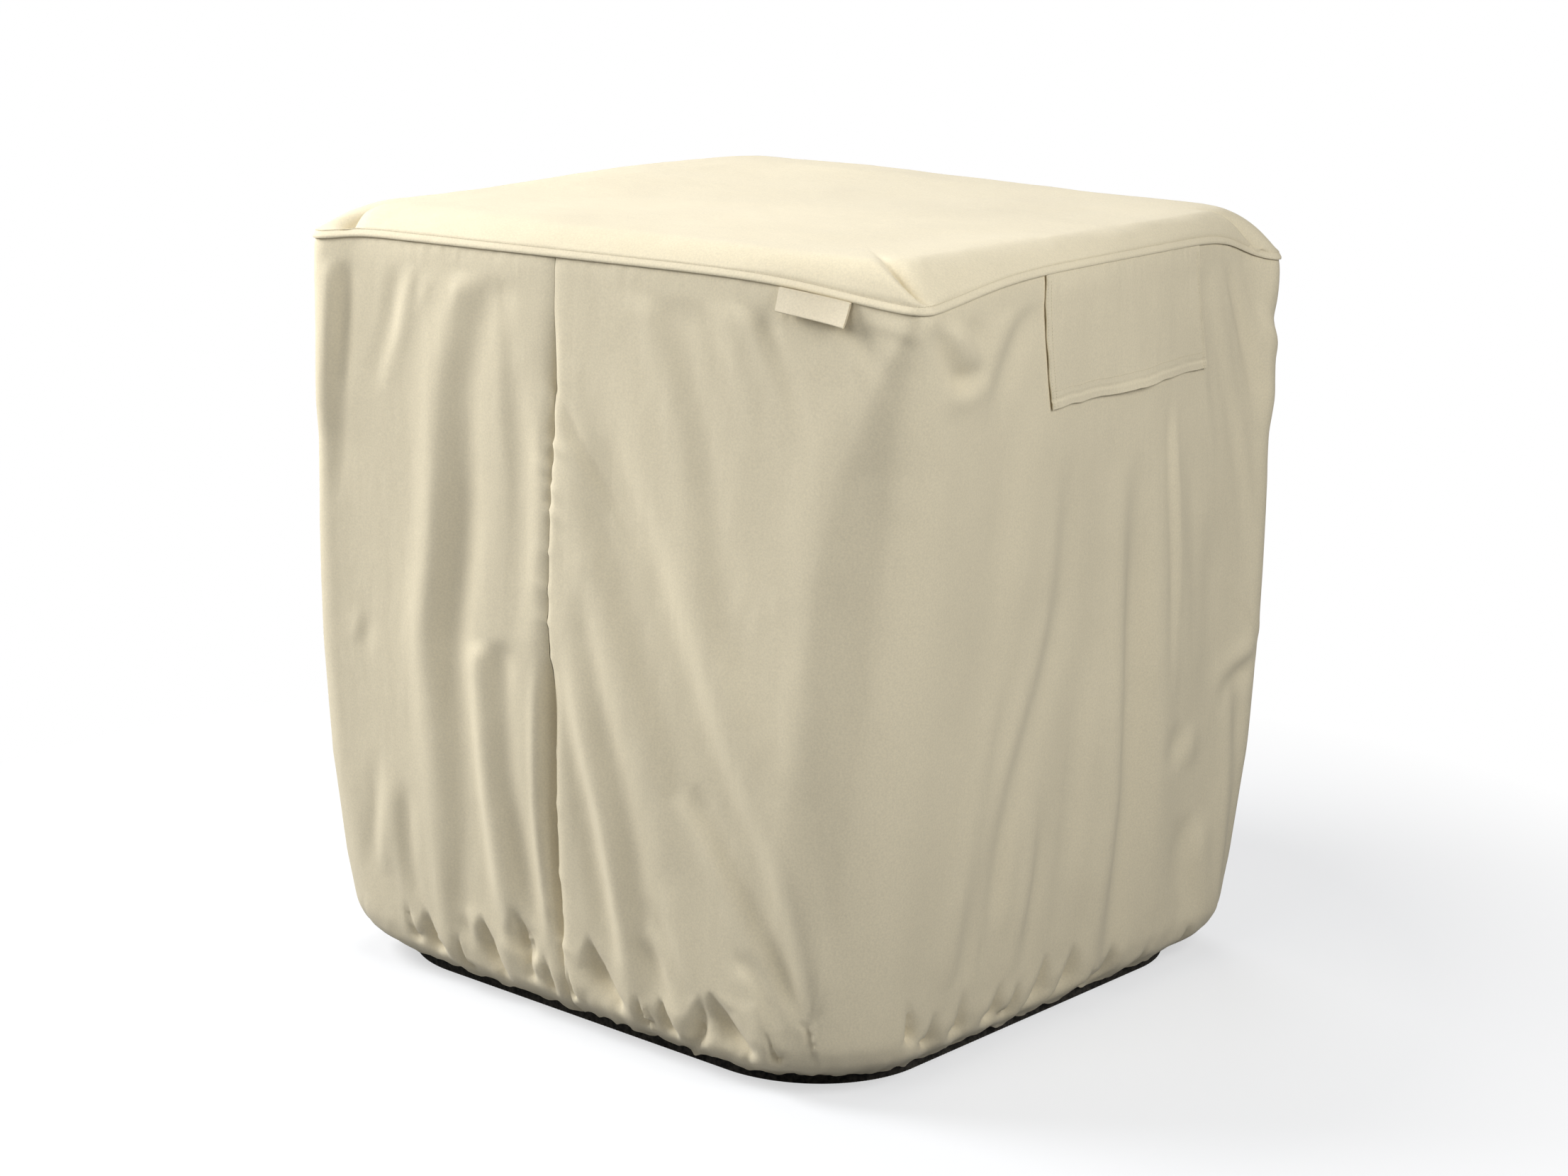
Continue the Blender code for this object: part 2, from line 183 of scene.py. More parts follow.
# The vent flap: its columns and rows, its lower edge, width and hem, how far it stands off the
# skirt and gapes at its lower edge, and where it is stitched
FLAP_COLUMNS = 104
FLAP_ROWS = 60
FLAP_LOW = -0.197
FLAP_WIDTH = 0.412
FLAP_HEM = 0.0105
FLAP_LIFT = 0.0007
FLAP_GAPE = 0.0040
FLAP_GAPE_MIDDLE = 0.55
FLAP_STITCH_COLUMNS = (1, 3, -3, -2)
FLAP_STITCH_ROW = -12

# The label, along the front face: its ends, how far it hangs, half the width of its fold, how
# far it leans out and how far it curls
LABEL_LEFT = 0.267
LABEL_RIGHT = 0.360
LABEL_DROP = 0.027
LABEL_FOLD = 0.0018
LABEL_LEAN = 0.0105
LABEL_CURL = 0.0012

# The band's columns, rows and ribs, and the welt's stitch line
BAND_COLUMNS = 1200
BAND_ROWS = 7
RIB_DEPTH = 0.0003
RIB_PITCH = 0.0058
WELT_STITCH_POINTS = 1400
STITCH_LENGTH = 0.0026
STITCH_GAP = 0.0010
THREAD_WIDTH = 0.0007
STITCH_SWAY = 0.12
FLOOR_SIZE = 160

# Small dents of the cloth: the share of each size, its length across and down the cloth, and
# how its pattern is shifted and slanted
Dent = namedtuple("Dent", "share across down shift slant")
DENTS = (
    Dent(0.60, 0.110, 0.190, 0, 3),
    Dent(0.28, 0.046, 0.075, 7, 5),
    Dent(0.12, 0.017, 0.024, 3, 0),
)
TOP_DENT_BROAD = 0.0022
TOP_DENT_FINE = 0.0007
SHOULDER_DENT = 0.0026

# Small pleats below the welt and gathers at the hem: depth, pitch and how far they reach
PLEAT_DEPTH = 0.0015
PLEAT_PITCH = 0.0065
PLEAT_REACH = 0.009
TUCK_REACH = 0.007
GATHER_DEPTH = 0.0032
GATHER_PITCH = 0.016
GATHER_FINE_PITCH = 0.0085
GATHER_REACH = 0.026

# Folds of the visible faces, in the photo's pixels. A flank is a slope of the cloth: its
# strength is positive where it faces right, and so is dark, and negative where
# it faces left. Width is in metres on the cloth, a path is (across, down, strength).
Flank = namedtuple("Flank", "face width path")
FLANKS = (
    Flank("front", 0.012, ((490, 338, 0.8), (487, 420, 2.2), (482, 500, 2.0), (478, 560, 1.3),
                           (475, 640, 0.7), (472, 700, 0.0))),
    Flank("front", 0.012, ((582, 345, -0.6), (570, 420, -1.0), (560, 470, -0.9),
                           (545, 520, -0.5), (538, 560, 0.0))),
    Flank("front", 0.008, ((622, 350, -0.6), (600, 400, -0.6), (590, 440, 0.0))),
    Flank("front", 0.009, ((655, 355, -0.5), (645, 400, -0.5), (632, 450, 0.0))),
    Flank("front", 0.024, ((694, 360, 0.5), (670, 420, 0.8), (655, 470, 0.8), (642, 530, 1.0),
                           (637, 600, 1.3), (635, 700, 1.9), (629, 780, 2.0), (621, 850, 2.0),
                           (617, 900, 1.9), (618, 960, 1.6), (622, 1050, 1.3),
                           (627, 1150, 1.1), (632, 1250, 0.9), (640, 1330, 0.3))),
    Flank("front", 0.011, ((705, 420, 0.3), (712, 500, 0.5), (716, 600, 0.5), (720, 720, 0.2),
                           (722, 800, 0.0))),
    Flank("front", 0.018, ((742, 520, 0.0), (750, 620, -0.8), (752, 720, -0.8),
                           (748, 800, -0.7), (742, 880, -0.4), (738, 940, 0.0))),
    Flank("front", 0.018, ((688, 905, 0.0), (690, 935, 1.8), (694, 1000, 1.5),
                           (700, 1100, 1.6), (714, 1180, 2.1), (725, 1250, 2.1),
                           (736, 1310, 1.0))),
    Flank("front", 0.014, ((660, 940, 0.0), (668, 1040, -0.6), (680, 1150, -0.8),
                           (690, 1250, -0.7), (700, 1310, 0.0))),
    Flank("front", 0.010, ((768, 920, 0.0), (765, 1000, 2.4), (765, 1100, 2.8),
                           (770, 1200, 2.8), (778, 1290, 1.8), (782, 1340, 0.0))),
    Flank("front", 0.014, ((618, 1180, 0.0), (624, 1260, 0.7), (630, 1330, 0.7))),
    Flank("front", 0.012, ((556, 1100, 0.0), (552, 1150, 1.2), (555, 1210, 1.2),
                           (566, 1270, 0.5), (576, 1310, 0.0))),
    Flank("front", 0.013, ((530, 1060, 0.0), (522, 1130, -0.9), (516, 1200, -1.0),
                           (514, 1240, 0.0))),
    Flank("front", 0.010, ((506, 860, 0.0), (504, 888, 0.8), (498, 920, 0.0))),
    Flank("front", 0.008, ((780, 560, 1.2), (800, 605, 1.9), (824, 655, 1.6), (852, 705, 1.0),
                           (880, 760, 0.4), (905, 810, 0.0))),
    Flank("front", 0.025, ((812, 620, 0.0), (826, 700, 0.9), (846, 780, 1.1), (868, 860, 1.2),
                           (893, 940, 1.2), (921, 1020, 1.2), (945, 1090, 1.1),
                           (966, 1160, 0.8), (985, 1230, 0.3), (1000, 1290, 0.0))),
    Flank("front", 0.018, ((808, 800, 0.0), (816, 880, 0.8), (830, 970, 0.9), (850, 1060, 1.1),
                           (870, 1130, 1.1), (885, 1200, 1.3), (896, 1290, 1.4),
                           (906, 1350, 1.5), (918, 1410, 0.8))),
    Flank("front", 0.019, ((797, 900, 0.0), (806, 980, -1.0), (822, 1060, -1.5),
                           (840, 1130, -1.6), (855, 1200, -1.6), (870, 1270, -1.5),
                           (886, 1340, -0.9), (898, 1400, 0.0))),
    Flank("front", 0.027, ((830, 520, 0.0), (880, 640, -0.8), (920, 740, -1.1),
                           (950, 830, -1.2), (978, 920, -1.2), (1012, 1020, -1.3),
                           (1052, 1110, -1.3), (1092, 1200, -1.3), (1127, 1290, -1.4),
                           (1150, 1380, -1.4), (1165, 1440, -0.5))),
    Flank("front", 0.019, ((902, 396, 0.5), (925, 440, 0.8), (950, 520, 0.8), (970, 600, 0.8),
                           (986, 700, 0.7), (1000, 780, 0.6), (1010, 860, 0.6),
                           (1028, 920, 0.7), (1060, 980, 0.6), (1090, 1040, 0.3),
                           (1110, 1090, 0.0))),
    Flank("front", 0.011, ((1018, 400, 1.2), (1045, 432, 1.7), (1070, 475, 1.4),
                           (1092, 530, 0.8), (1120, 600, 0.3), (1140, 650, 0.0))),
    Flank("front", 0.014, ((970, 400, -0.3), (1000, 450, -0.7), (1030, 530, -0.5),
                           (1050, 600, 0.0))),
    Flank("front", 0.013, ((972, 1110, 0.0), (990, 1145, 1.4), (1022, 1200, 1.8),
                           (1058, 1265, 1.7), (1090, 1330, 1.6), (1122, 1395, 1.5),
                           (1148, 1440, 0.5))),
    Flank("front", 0.016, ((930, 1250, 0.0), (950, 1300, -0.9), (975, 1370, -0.8),
                           (1000, 1420, 0.0))),
    Flank("front", 0.006, ((1196, 1330, 0.0), (1188, 1380, 0.5), (1172, 1440, 0.6),
                           (1160, 1470, 0.3))),
    Flank("front", 0.009, ((1180, 472, 0.9), (1205, 505, 0.9), (1235, 550, 0.3),
                           (1255, 590, 0.0))),
    Flank("front", 0.008, ((1205, 455, -0.6), (1240, 468, -0.9), (1285, 490, -0.4),
                           (1310, 510, 0.0))),
    Flank("front", 0.009, ((705, 1315, 0.0), (722, 1338, 1.6), (748, 1352, 1.2),
                           (765, 1360, 0.0))),
    Flank("front", 0.010, ((640, 1290, 0.0), (655, 1312, -1.4), (664, 1345, 0.0))),
    Flank("front", 0.012, ((905, 1310, 0.0), (935, 1345, -1.5), (955, 1390, -1.0),
                           (962, 1420, 0.0))),
    Flank("front", 0.010, ((1046, 1350, 0.0), (1075, 1372, 1.6), (1098, 1420, 1.2),
                           (1112, 1455, 0.0))),
    Flank("front", 0.030, ((1195, 560, 0.0), (1180, 700, 0.5), (1170, 850, 0.5),
                           (1180, 1000, 0.4), (1190, 1150, 0.0))),
    Flank("right", 0.014, ((1312, 440, -1.2), (1322, 470, -2.0), (1335, 500, -2.0),
                           (1352, 520, -1.2), (1375, 532, 0.0))),
    Flank("right", 0.012, ((1338, 432, 0.6), (1355, 462, 1.3), (1372, 492, 1.1),
                           (1382, 515, 0.0))),
    Flank("right", 0.012, ((1330, 528, 0.0), (1345, 548, 1.9), (1372, 540, 1.3),
                           (1392, 522, 0.0))),
    Flank("right", 0.022, ((1452, 402, 0.5), (1428, 455, 1.0), (1405, 515, 0.9),
                           (1392, 570, 0.4), (1385, 620, 0.0))),
    Flank("right", 0.034, ((1445, 560, 0.0), (1438, 680, -0.5), (1425, 820, -0.6),
                           (1410, 950, -0.4), (1400, 1050, 0.0))),
    Flank("right", 0.018, ((1420, 930, 0.0), (1408, 1040, 0.7), (1395, 1130, 0.8),
                           (1384, 1210, 1.0), (1375, 1290, 1.3), (1368, 1360, 1.0),
                           (1364, 1400, 0.0))),
    Flank("right", 0.022, ((1500, 640, 0.0), (1494, 740, 0.8), (1485, 840, 1.0),
                           (1468, 930, 1.1), (1446, 1020, 1.1), (1425, 1110, 1.2),
                           (1410, 1190, 1.3), (1402, 1260, 1.1), (1398, 1320, 0.3))),
    Flank("right", 0.014, ((1468, 1120, 0.0), (1463, 1200, 1.2), (1456, 1270, 1.5),
                           (1446, 1340, 0.8), (1440, 1380, 0.0))),
    Flank("right", 0.012, ((1440, 1130, 0.0), (1430, 1200, -0.8), (1422, 1280, -0.9),
                           (1415, 1340, 0.0))),
    Flank("right", 0.025, ((1592, 640, 0.0), (1590, 720, 0.8), (1586, 800, 1.2),
                           (1582, 880, 1.6), (1579, 960, 1.8), (1575, 1040, 1.9),
                           (1571, 1120, 1.9), (1563, 1200, 1.8), (1553, 1280, 1.6),
                           (1543, 1350, 0.8))),
    Flank("right", 0.022, ((1530, 900, 0.0), (1528, 1000, -0.7), (1522, 1100, -0.8),
                           (1512, 1220, -0.7), (1505, 1320, 0.0))),
    Flank("right", 0.025, ((1625, 640, 0.0), (1620, 800, -0.8), (1615, 950, -0.9),
                           (1612, 1080, -0.8), (1606, 1200, -0.5), (1600, 1300, 0.0))),
    Flank("right", 0.008, ((1658, 560, 0.0), (1655, 620, -1.6), (1652, 720, -1.7),
                           (1649, 820, -1.4), (1643, 910, -0.8), (1640, 980, 0.0))),
    Flank("right", 0.018, ((1672, 600, 0.0), (1670, 720, 0.7), (1668, 840, 0.7),
                           (1662, 960, 0.0))),
    Flank("right", 0.018, ((1655, 1015, 0.0), (1650, 1050, -1.4), (1645, 1085, 0.0))),
    Flank("right", 0.022, ((1664, 1140, 0.0), (1658, 1190, -1.5), (1660, 1260, -1.1),
                           (1655, 1310, 0.0))),
    Flank("right", 0.016, ((1724, 930, 0.0), (1716, 1010, 1.2), (1712, 1080, 1.2),
                           (1704, 1160, 1.1), (1695, 1240, 0.9), (1690, 1300, 0.0))),
    Flank("right", 0.014, ((1752, 905, 0.0), (1735, 928, 1.8), (1712, 950, 1.2),
                           (1695, 985, 0.0))),
    Flank("right", 0.008, ((1718, 815, 0.0), (1735, 850, -1.2), (1752, 885, -0.8),
                           (1760, 905, 0.0))),
    Flank("right", 0.012, ((1716, 352, -0.4), (1724, 430, -0.9), (1735, 520, -0.9),
                           (1745, 600, -0.9), (1750, 690, -0.6), (1752, 760, 0.0))),
    Flank("right", 0.012, ((1700, 352, 0.4), (1704, 450, 0.8), (1712, 560, 0.6),
                           (1716, 660, 0.0))),
    Flank("right", 0.010, ((1748, 365, -0.5), (1764, 440, -1.2), (1775, 520, -1.0),
                           (1781, 600, -0.4), (1782, 660, 0.0))),
    Flank("right", 0.010, ((1738, 360, 0.4), (1750, 440, 0.9), (1760, 520, 0.8),
                           (1766, 610, 0.0))),
    Flank("right", 0.012, ((1786, 420, 0.0), (1793, 462, 2.0), (1800, 500, 0.0))),
    Flank("right", 0.024, ((1700, 700, 0.0), (1690, 800, 0.5), (1680, 920, 0.5),
                           (1672, 1020, 0.0))),
)
FLANK_SLOPE = 0.33

# Creases that the elastic draws into the hem, in the photo's pixels: where each starts,
# where it is strongest and where it meets the hem
Pocket = namedtuple("Pocket", "face width strength start deep end")
POCKETS = (
    Pocket("front", 0.012, 0.7, (556, 1268), (566, 1296), (574, 1320)),
    Pocket("front", 0.013, 1.5, (586, 1280), (592, 1302), (604, 1340)),
    Pocket("front", 0.010, 1.0, (632, 1310), (638, 1335), (648, 1365)),
    Pocket("front", 0.014, 1.6, (668, 1288), (677, 1312), (695, 1372)),
    Pocket("front", 0.013, 1.5, (722, 1275), (730, 1298), (742, 1372)),
    Pocket("front", 0.010, 1.0, (764, 1330), (768, 1352), (774, 1395)),
    Pocket("front", 0.009, 1.0, (798, 1350), (802, 1372), (808, 1402)),
    Pocket("front", 0.016, 1.6, (832, 1315), (844, 1345), (874, 1410)),
    Pocket("front", 0.010, 1.0, (906, 1390), (912, 1408), (922, 1435)),
    Pocket("front", 0.011, 1.2, (938, 1395), (946, 1412), (958, 1450)),
    Pocket("front", 0.014, 1.4, (1004, 1392), (996, 1418), (986, 1465)),
    Pocket("front", 0.018, 1.8, (1016, 1388), (1032, 1414), (1066, 1475)),
    Pocket("front", 0.010, 0.8, (1100, 1440), (1112, 1462), (1122, 1485)),
    Pocket("right", 0.012, 1.2, (1306, 1415), (1312, 1440), (1308, 1470)),
    Pocket("right", 0.013, 1.3, (1342, 1425), (1338, 1448), (1330, 1475)),
    Pocket("right", 0.013, 1.2, (1378, 1395), (1374, 1425), (1366, 1460)),
    Pocket("right", 0.013, 1.4, (1424, 1380), (1418, 1405), (1408, 1440)),
    Pocket("right", 0.012, 1.2, (1446, 1378), (1440, 1400), (1430, 1432)),
    Pocket("right", 0.014, 1.4, (1480, 1340), (1474, 1368), (1462, 1420)),
    Pocket("right", 0.014, 1.5, (1514, 1322), (1509, 1348), (1498, 1405)),
    Pocket("right", 0.012, 1.0, (1538, 1345), (1532, 1362), (1524, 1392)),
    Pocket("right", 0.014, 1.5, (1564, 1322), (1558, 1345), (1545, 1385)),
    Pocket("right", 0.013, 1.0, (1604, 1325), (1598, 1342), (1590, 1365)),
    Pocket("right", 0.014, 1.3, (1655, 1290), (1648, 1312), (1638, 1340)),
)

# How many pixels lower than read the creases' ends and their strongest points are set, how
# much wider the creases are made, and how much of their strength is left at the hem
POCKET_DROP = 4
POCKET_SINK = 28
POCKET_WIDEN = 1.10
POCKET_FADE = 0.63
POCKET_DEPTH = 0.0135
PHOTO_WIDTH = 2212
PHOTO_HEIGHT = 1659

# Plain folds of the hidden faces, in metres from the middle of a face and below the top
Fold = namedtuple("Fold", "face width depth path")
HIDDEN_FOLDS = (
    Fold("back", 0.040, 0.014, ((-0.260, -0.090, 0.0), (-0.230, -0.250, -1.0),
                                (-0.200, -0.420, -1.0), (-0.250, -0.880, -0.6))),
    Fold("back", 0.034, 0.012, ((0.190, -0.140, 0.0), (0.215, -0.400, -1.0),
                                (0.240, -0.700, 0.0))),
    Fold("back", 0.030, 0.012, ((-0.020, -0.400, 0.0), (-0.055, -0.650, -1.0),
                                (-0.090, -0.920, -0.7))),
    Fold("back", 0.026, 0.006, ((0.080, -0.100, 0.0), (0.070, -0.420, 1.0),
                                (0.050, -0.860, 0.3))),
    Fold("left", 0.040, 0.014, ((-0.200, -0.080, 0.0), (-0.240, -0.300, -1.0),
                                (-0.260, -0.480, -1.0), (-0.210, -0.860, -0.6))),
    Fold("left", 0.036, 0.012, ((0.070, -0.250, 0.0), (0.050, -0.500, -1.0),
                                (0.020, -0.900, -0.6))),
    Fold("left", 0.034, 0.012, ((0.310, -0.070, 0.0), (0.290, -0.250, -1.0),
                                (0.240, -0.560, 0.0))),
    Fold("left", 0.026, 0.006, ((-0.070, -0.100, 0.0), (-0.080, -0.420, 1.0),
                                (-0.060, -0.860, 0.3))),
)
FOLDS_START = -0.060
FADE_LENGTH = 0.030

SEED = 20
HIDDEN_GATHERS = 26
GATHER_TOPS = (-0.925, -0.870)
GATHER_WIDTHS = (0.011, 0.018)
GATHER_DEPTHS = (-0.014, -0.007)
GATHER_LOW = -0.985

# Puckers along the panel seam: to the left or right of it, height, reach, rise, depth
Pucker = namedtuple("Pucker", "side height reach rise depth")
PUCKERS = (
    Pucker(-1, -0.290, 0.030, 0.010, 0.0030),
    Pucker(-1, -0.389, 0.022, 0.006, 0.0025),
    Pucker(-1, -0.437, 0.030, 0.010, 0.0030),
    Pucker(-1, -0.476, 0.024, 0.004, 0.0030),
    Pucker(-1, -0.640, 0.022, 0.008, 0.0030),
    Pucker(-1, -0.735, 0.026, 0.008, 0.0030),
    Pucker(-1, -0.840, 0.024, 0.008, 0.0035),
    Pucker(1, -0.258, 0.036, -0.014, 0.0040),
    Pucker(1, -0.311, 0.026, -0.006, 0.0030),
    Pucker(1, -0.340, 0.034, -0.012, 0.0030),
    Pucker(1, -0.520, 0.024, -0.010, 0.0025),
    Pucker(1, -0.700, 0.026, -0.012, 0.0025),
    Pucker(1, -0.790, 0.030, -0.012, 0.0030),
    Pucker(1, -0.880, 0.026, -0.012, 0.0035),
)
PUCKER_WIDTH = 0.0055

# How deep the panel seam is drawn in at each height, and over what width on its sides
Groove = namedtuple("Groove", "height depth")
GROOVES = (
    Groove(0.000, 0.0015),
    Groove(-0.100, 0.0030),
    Groove(-0.170, 0.0095),
    Groove(-0.290, 0.0095),
    Groove(-0.370, 0.0055),
    Groove(-0.500, 0.0065),
    Groove(-0.580, 0.0135),
    Groove(-0.850, 0.0145),
    Groove(-0.920, 0.0080),
    Groove(-1.030, 0.0050),
)
GROOVE_LEFT = 0.0095
GROOVE_RIGHT = 0.0050

# Camera and lights, worked out from the photo
LENS = 70.73
SENSOR = 36.0
CAMERA_AZIMUTH = 35.5
CAMERA_PITCH = 13.2
CAMERA_ROLL = 1.35
CAMERA_DISTANCE = 4.03
CAMERA_SIDE = -0.021
CAMERA_HEIGHT = -0.503
FACE_PLANE = 0.440

# Soft lights: azimuth from the front face towards the right one, distance and height
Lamp = namedtuple("Lamp", "name azimuth distance height size power")
LAMPS = (
    Lamp("left", -60, 2.7, 1.15, 1.7, 107),
    Lamp("front", 0, 2.7, 1.15, 1.7, 16),
    Lamp("right", 75, 2.7, 1.15, 1.7, 53),
    Lamp("above", 45, 0.14, 2.10, 2.8, 12),
    Lamp("behind", -146, 2.88, 2.20, 2.2, 40),
)
LAMP_AIM = -0.30
WORLD_STRENGTH = 0.06

# How much of the floor's light bounces back, and where the floor fades into the backdrop
FLOOR_BOUNCE = 0.35
FLOOR_GLOW = 0.57
FLOOR_NEAR = 0.85
FLOOR_FAR = 1.45


class CoverSizes(bpy.types.PropertyGroup):
    """Sizes of the cover's cloth, seams and stitches."""

    cloth: bpy.props.FloatProperty(
        name="Cloth", description="Thickness of the skirt's and the top's cloth",
        default=0.0016, min=0.001, max=0.003, unit="LENGTH")
    flap_cloth: bpy.props.FloatProperty(
        name="Flap cloth", description="Thickness of the vent flap's cloth",
        default=0.0013, min=0.001, max=0.003, unit="LENGTH")
    label_cloth: bpy.props.FloatProperty(
        name="Label cloth", description="Thickness of the folded label's cloth",
        default=0.0010, min=0.0005, max=0.002, unit="LENGTH")
    band_cloth: bpy.props.FloatProperty(
        name="Band", description="Thickness of the elastic band at the hem",
        default=0.0016, min=0.001, max=0.003, unit="LENGTH")
    fold_depth: bpy.props.FloatProperty(
        name="Fold depth", description="Scale of the depth of every fold in the skirt",
        default=1.0, min=0.0, max=1.4, subtype="FACTOR")
    crumple: bpy.props.FloatProperty(
        name="Crumple", description="Depth of the small uneven dents in the cloth",
        default=0.0011, min=0.0, max=0.004, unit="LENGTH")
    stitch_length: bpy.props.FloatProperty(
        name="Stitch length", description="Length of one stitch of the topstitching",
        default=STITCH_LENGTH, min=0.001, max=0.006, unit="LENGTH")
    stitch_gap: bpy.props.FloatProperty(
        name="Stitch gap", description="Gap between one stitch and the next",
        default=STITCH_GAP, min=0.0003, max=0.003, unit="LENGTH")
    thread: bpy.props.FloatProperty(
        name="Thread", description="Thickness of the sewing thread",
        default=THREAD_WIDTH, min=0.0003, max=0.0015, unit="LENGTH")
    weave: bpy.props.FloatProperty(
        name="Weave pitch", description="Distance between threads of the cloth's weave",
        default=0.0011, min=0.0004, max=0.004, unit="LENGTH")


class CoverColours(bpy.types.PropertyGroup):
    """Colours of the cover and of the floor it stands on."""

    cloth: bpy.props.FloatVectorProperty(
        name="Cloth", description="Colour of the cover's cloth",
        default=(0.80, 0.712, 0.515), size=3, min=0.0, max=1.0, subtype="COLOR")
    # A darker tone that the skirt's colour is mixed towards, in patches, low down near the hem
    low_tone: bpy.props.FloatVectorProperty(
        name="Low tone", description="Colour of the faint dust low on the skirt",
        default=(0.56, 0.49, 0.36), size=3, min=0.0, max=1.0, subtype="COLOR")
    label: bpy.props.FloatVectorProperty(
        name="Label", description="Colour of the bare label",
        default=(0.78, 0.69, 0.505), size=3, min=0.0, max=1.0, subtype="COLOR")
    # Painted shade: the band is a real elastic band, but its near-black colour stands in for the
    # deep shadow under the gathered hem
    band: bpy.props.FloatVectorProperty(
        name="Band", description="Colour of the elastic band at the hem",
        default=(0.022, 0.018, 0.012), size=3, min=0.0, max=1.0, subtype="COLOR")
    thread: bpy.props.FloatVectorProperty(
        name="Thread", description="Colour of the sewing thread",
        default=(0.70, 0.62, 0.45), size=3, min=0.0, max=1.0, subtype="COLOR")
    floor: bpy.props.FloatVectorProperty(
        name="Floor", description="Colour of the plain floor",
        default=(0.89, 0.91, 0.95), size=3, min=0.0, max=1.0, subtype="COLOR")


def smooth_step(value):
    """Ease from 0 to 1."""
    share = np.clip(value, 0.0, 1.0)
    return share * share * (3 - 2 * share)


def blurred(rows, column):
    """One column of a table by height, evened out, on the fine grid of heights."""
    heights = [row.height for row in rows][::-1]
    values = [getattr(row, column) for row in rows][::-1]
    fine = np.interp(TABLE_HEIGHTS, heights, values)
    reach = int(3 * TABLE_BLUR / TABLE_STEP)
    kernel = np.exp(-(np.arange(-reach, reach + 1) * TABLE_STEP / TABLE_BLUR) ** 2 / 2)
    padded = np.pad(fine, reach, mode="edge")
    return np.convolve(padded, kernel / kernel.sum(), mode="valid")


TABLE_HEIGHTS = np.arange(-1.030, 0.0001, TABLE_STEP)
HALVES = blurred(SECTIONS, "half")
TURNS = np.radians(blurred(SECTIONS, "turn"))
RADII = [blurred(SECTIONS, name) for name in SECTION_CORNERS]
EAR_LEFT = blurred(EAR_FADE, "left")
GROOVE_DEPTHS = blurred(GROOVES, "depth")


def at_height(table, height):
    """Read a fine table at some heights."""
    return np.interp(height, TABLE_HEIGHTS, table)


def corner_radius(around, height):
    """Radius of the nearest corner at a height."""
    nearest = np.round(around).astype(int) % 4
    radius = np.zeros_like(height)
    for number, table in enumerate(RADII):
        radius = np.where(nearest == number, at_height(table, height), radius)
    return radius


def place_round(face, along, height):
    """Turn a place on a face into the way round the cover, from 0 to 4."""
    half = at_height(HALVES, height)
    turn = at_height(TURNS, height)
    share = (along - half * np.sin(turn)) / (half * np.cos(turn))
    return FACES.index(face) + (share + 1) / 2


def line_round(line, height):
    """Where a line stands round the cover at some heights; a number is a corner."""
    height = np.asarray(height, dtype=float)
    if not isinstance(line, Line):
        return np.full_like(height, float(line))
    heights = [top for top, _ in line.path][::-1]
    places = [along for _, along in line.path][::-1]
    return place_round(line.face, np.interp(height, heights, places), height)


def gap_round(around, number):
    """Shortest way round to a corner, in metres."""
    apart = np.abs(around - number) % 4
    return np.minimum(apart, 4 - apart) * ROUND


def seam_height(around):
    """Height of the welt's lower edge, which droops at the corners."""
    height = np.full_like(around, SEAM_HEIGHT)
    for number, corner in enumerate(CORNERS):
        height = height - corner.droop * np.exp(-(gap_round(around, number)
                                                  / corner.width) ** 2)
    return height


def ear_push(around, height):
    """How far the cloth is pushed out by the ears at the corners."""
    push = np.zeros_like(around)
    for number, corner in enumerate(CORNERS):
        push = push + corner.ear * np.exp(-(gap_round(around, number) / EAR_WIDTH) ** 2)
    return push * at_height(EAR_LEFT, height)


def spline(points, steps):
    """A smooth line through some points."""
    points = np.array(points, dtype=float)
    padded = np.vstack((2 * points[0] - points[1], points, 2 * points[-1] - points[-2]))
    share = np.linspace(0, 1, steps, endpoint=False)[:, None]
    parts = []
    for before, first, second, after in zip(padded, padded[1:], padded[2:], padded[3:]):
        parts.append(first + 0.5 * share * (second - before
                     + share * (2 * before - 5 * first + 4 * second - after
                                + share * (3 * (first - second) + after - before))))
    return np.vstack(parts + [points[-1:]])


def photo_place(face, across, down):
    """A place on a face, round the cover in metres and in height, from the photo."""
    back, right, up, eye = camera_axes()
    focal = LENS / SENSOR * PHOTO_WIDTH
    ray = right * (across - PHOTO_WIDTH / 2) / focal - up * (down - PHOTO_HEIGHT / 2) / focal
    ray -= back
    if face == "front":
        point = eye + ray * ((-FACE_PLANE - eye.y) / ray.y)
        along = point.x
    else:
        point = eye + ray * ((FACE_PLANE - eye.x) / ray.x)
        along = point.y
    return float(place_round(face, along, point.z)) * ROUND, point.z


def camera_axes():
    """Backward, right and upward directions of the camera, and where it stands."""
    azimuth, pitch = math.radians(CAMERA_AZIMUTH), math.radians(CAMERA_PITCH)
    back = Vector((math.sin(azimuth) * math.cos(pitch),
                   -math.cos(azimuth) * math.cos(pitch), math.sin(pitch)))
    level = Vector((math.cos(azimuth), math.sin(azimuth), 0.0))
    above = back.cross(level)
    roll = math.radians(CAMERA_ROLL)
    right = level * math.cos(roll) + above * math.sin(roll)
    up = above * math.cos(roll) - level * math.sin(roll)
    eye = level * CAMERA_SIDE + Vector((0, 0, CAMERA_HEIGHT)) + back * CAMERA_DISTANCE
    return back, right, up, eye


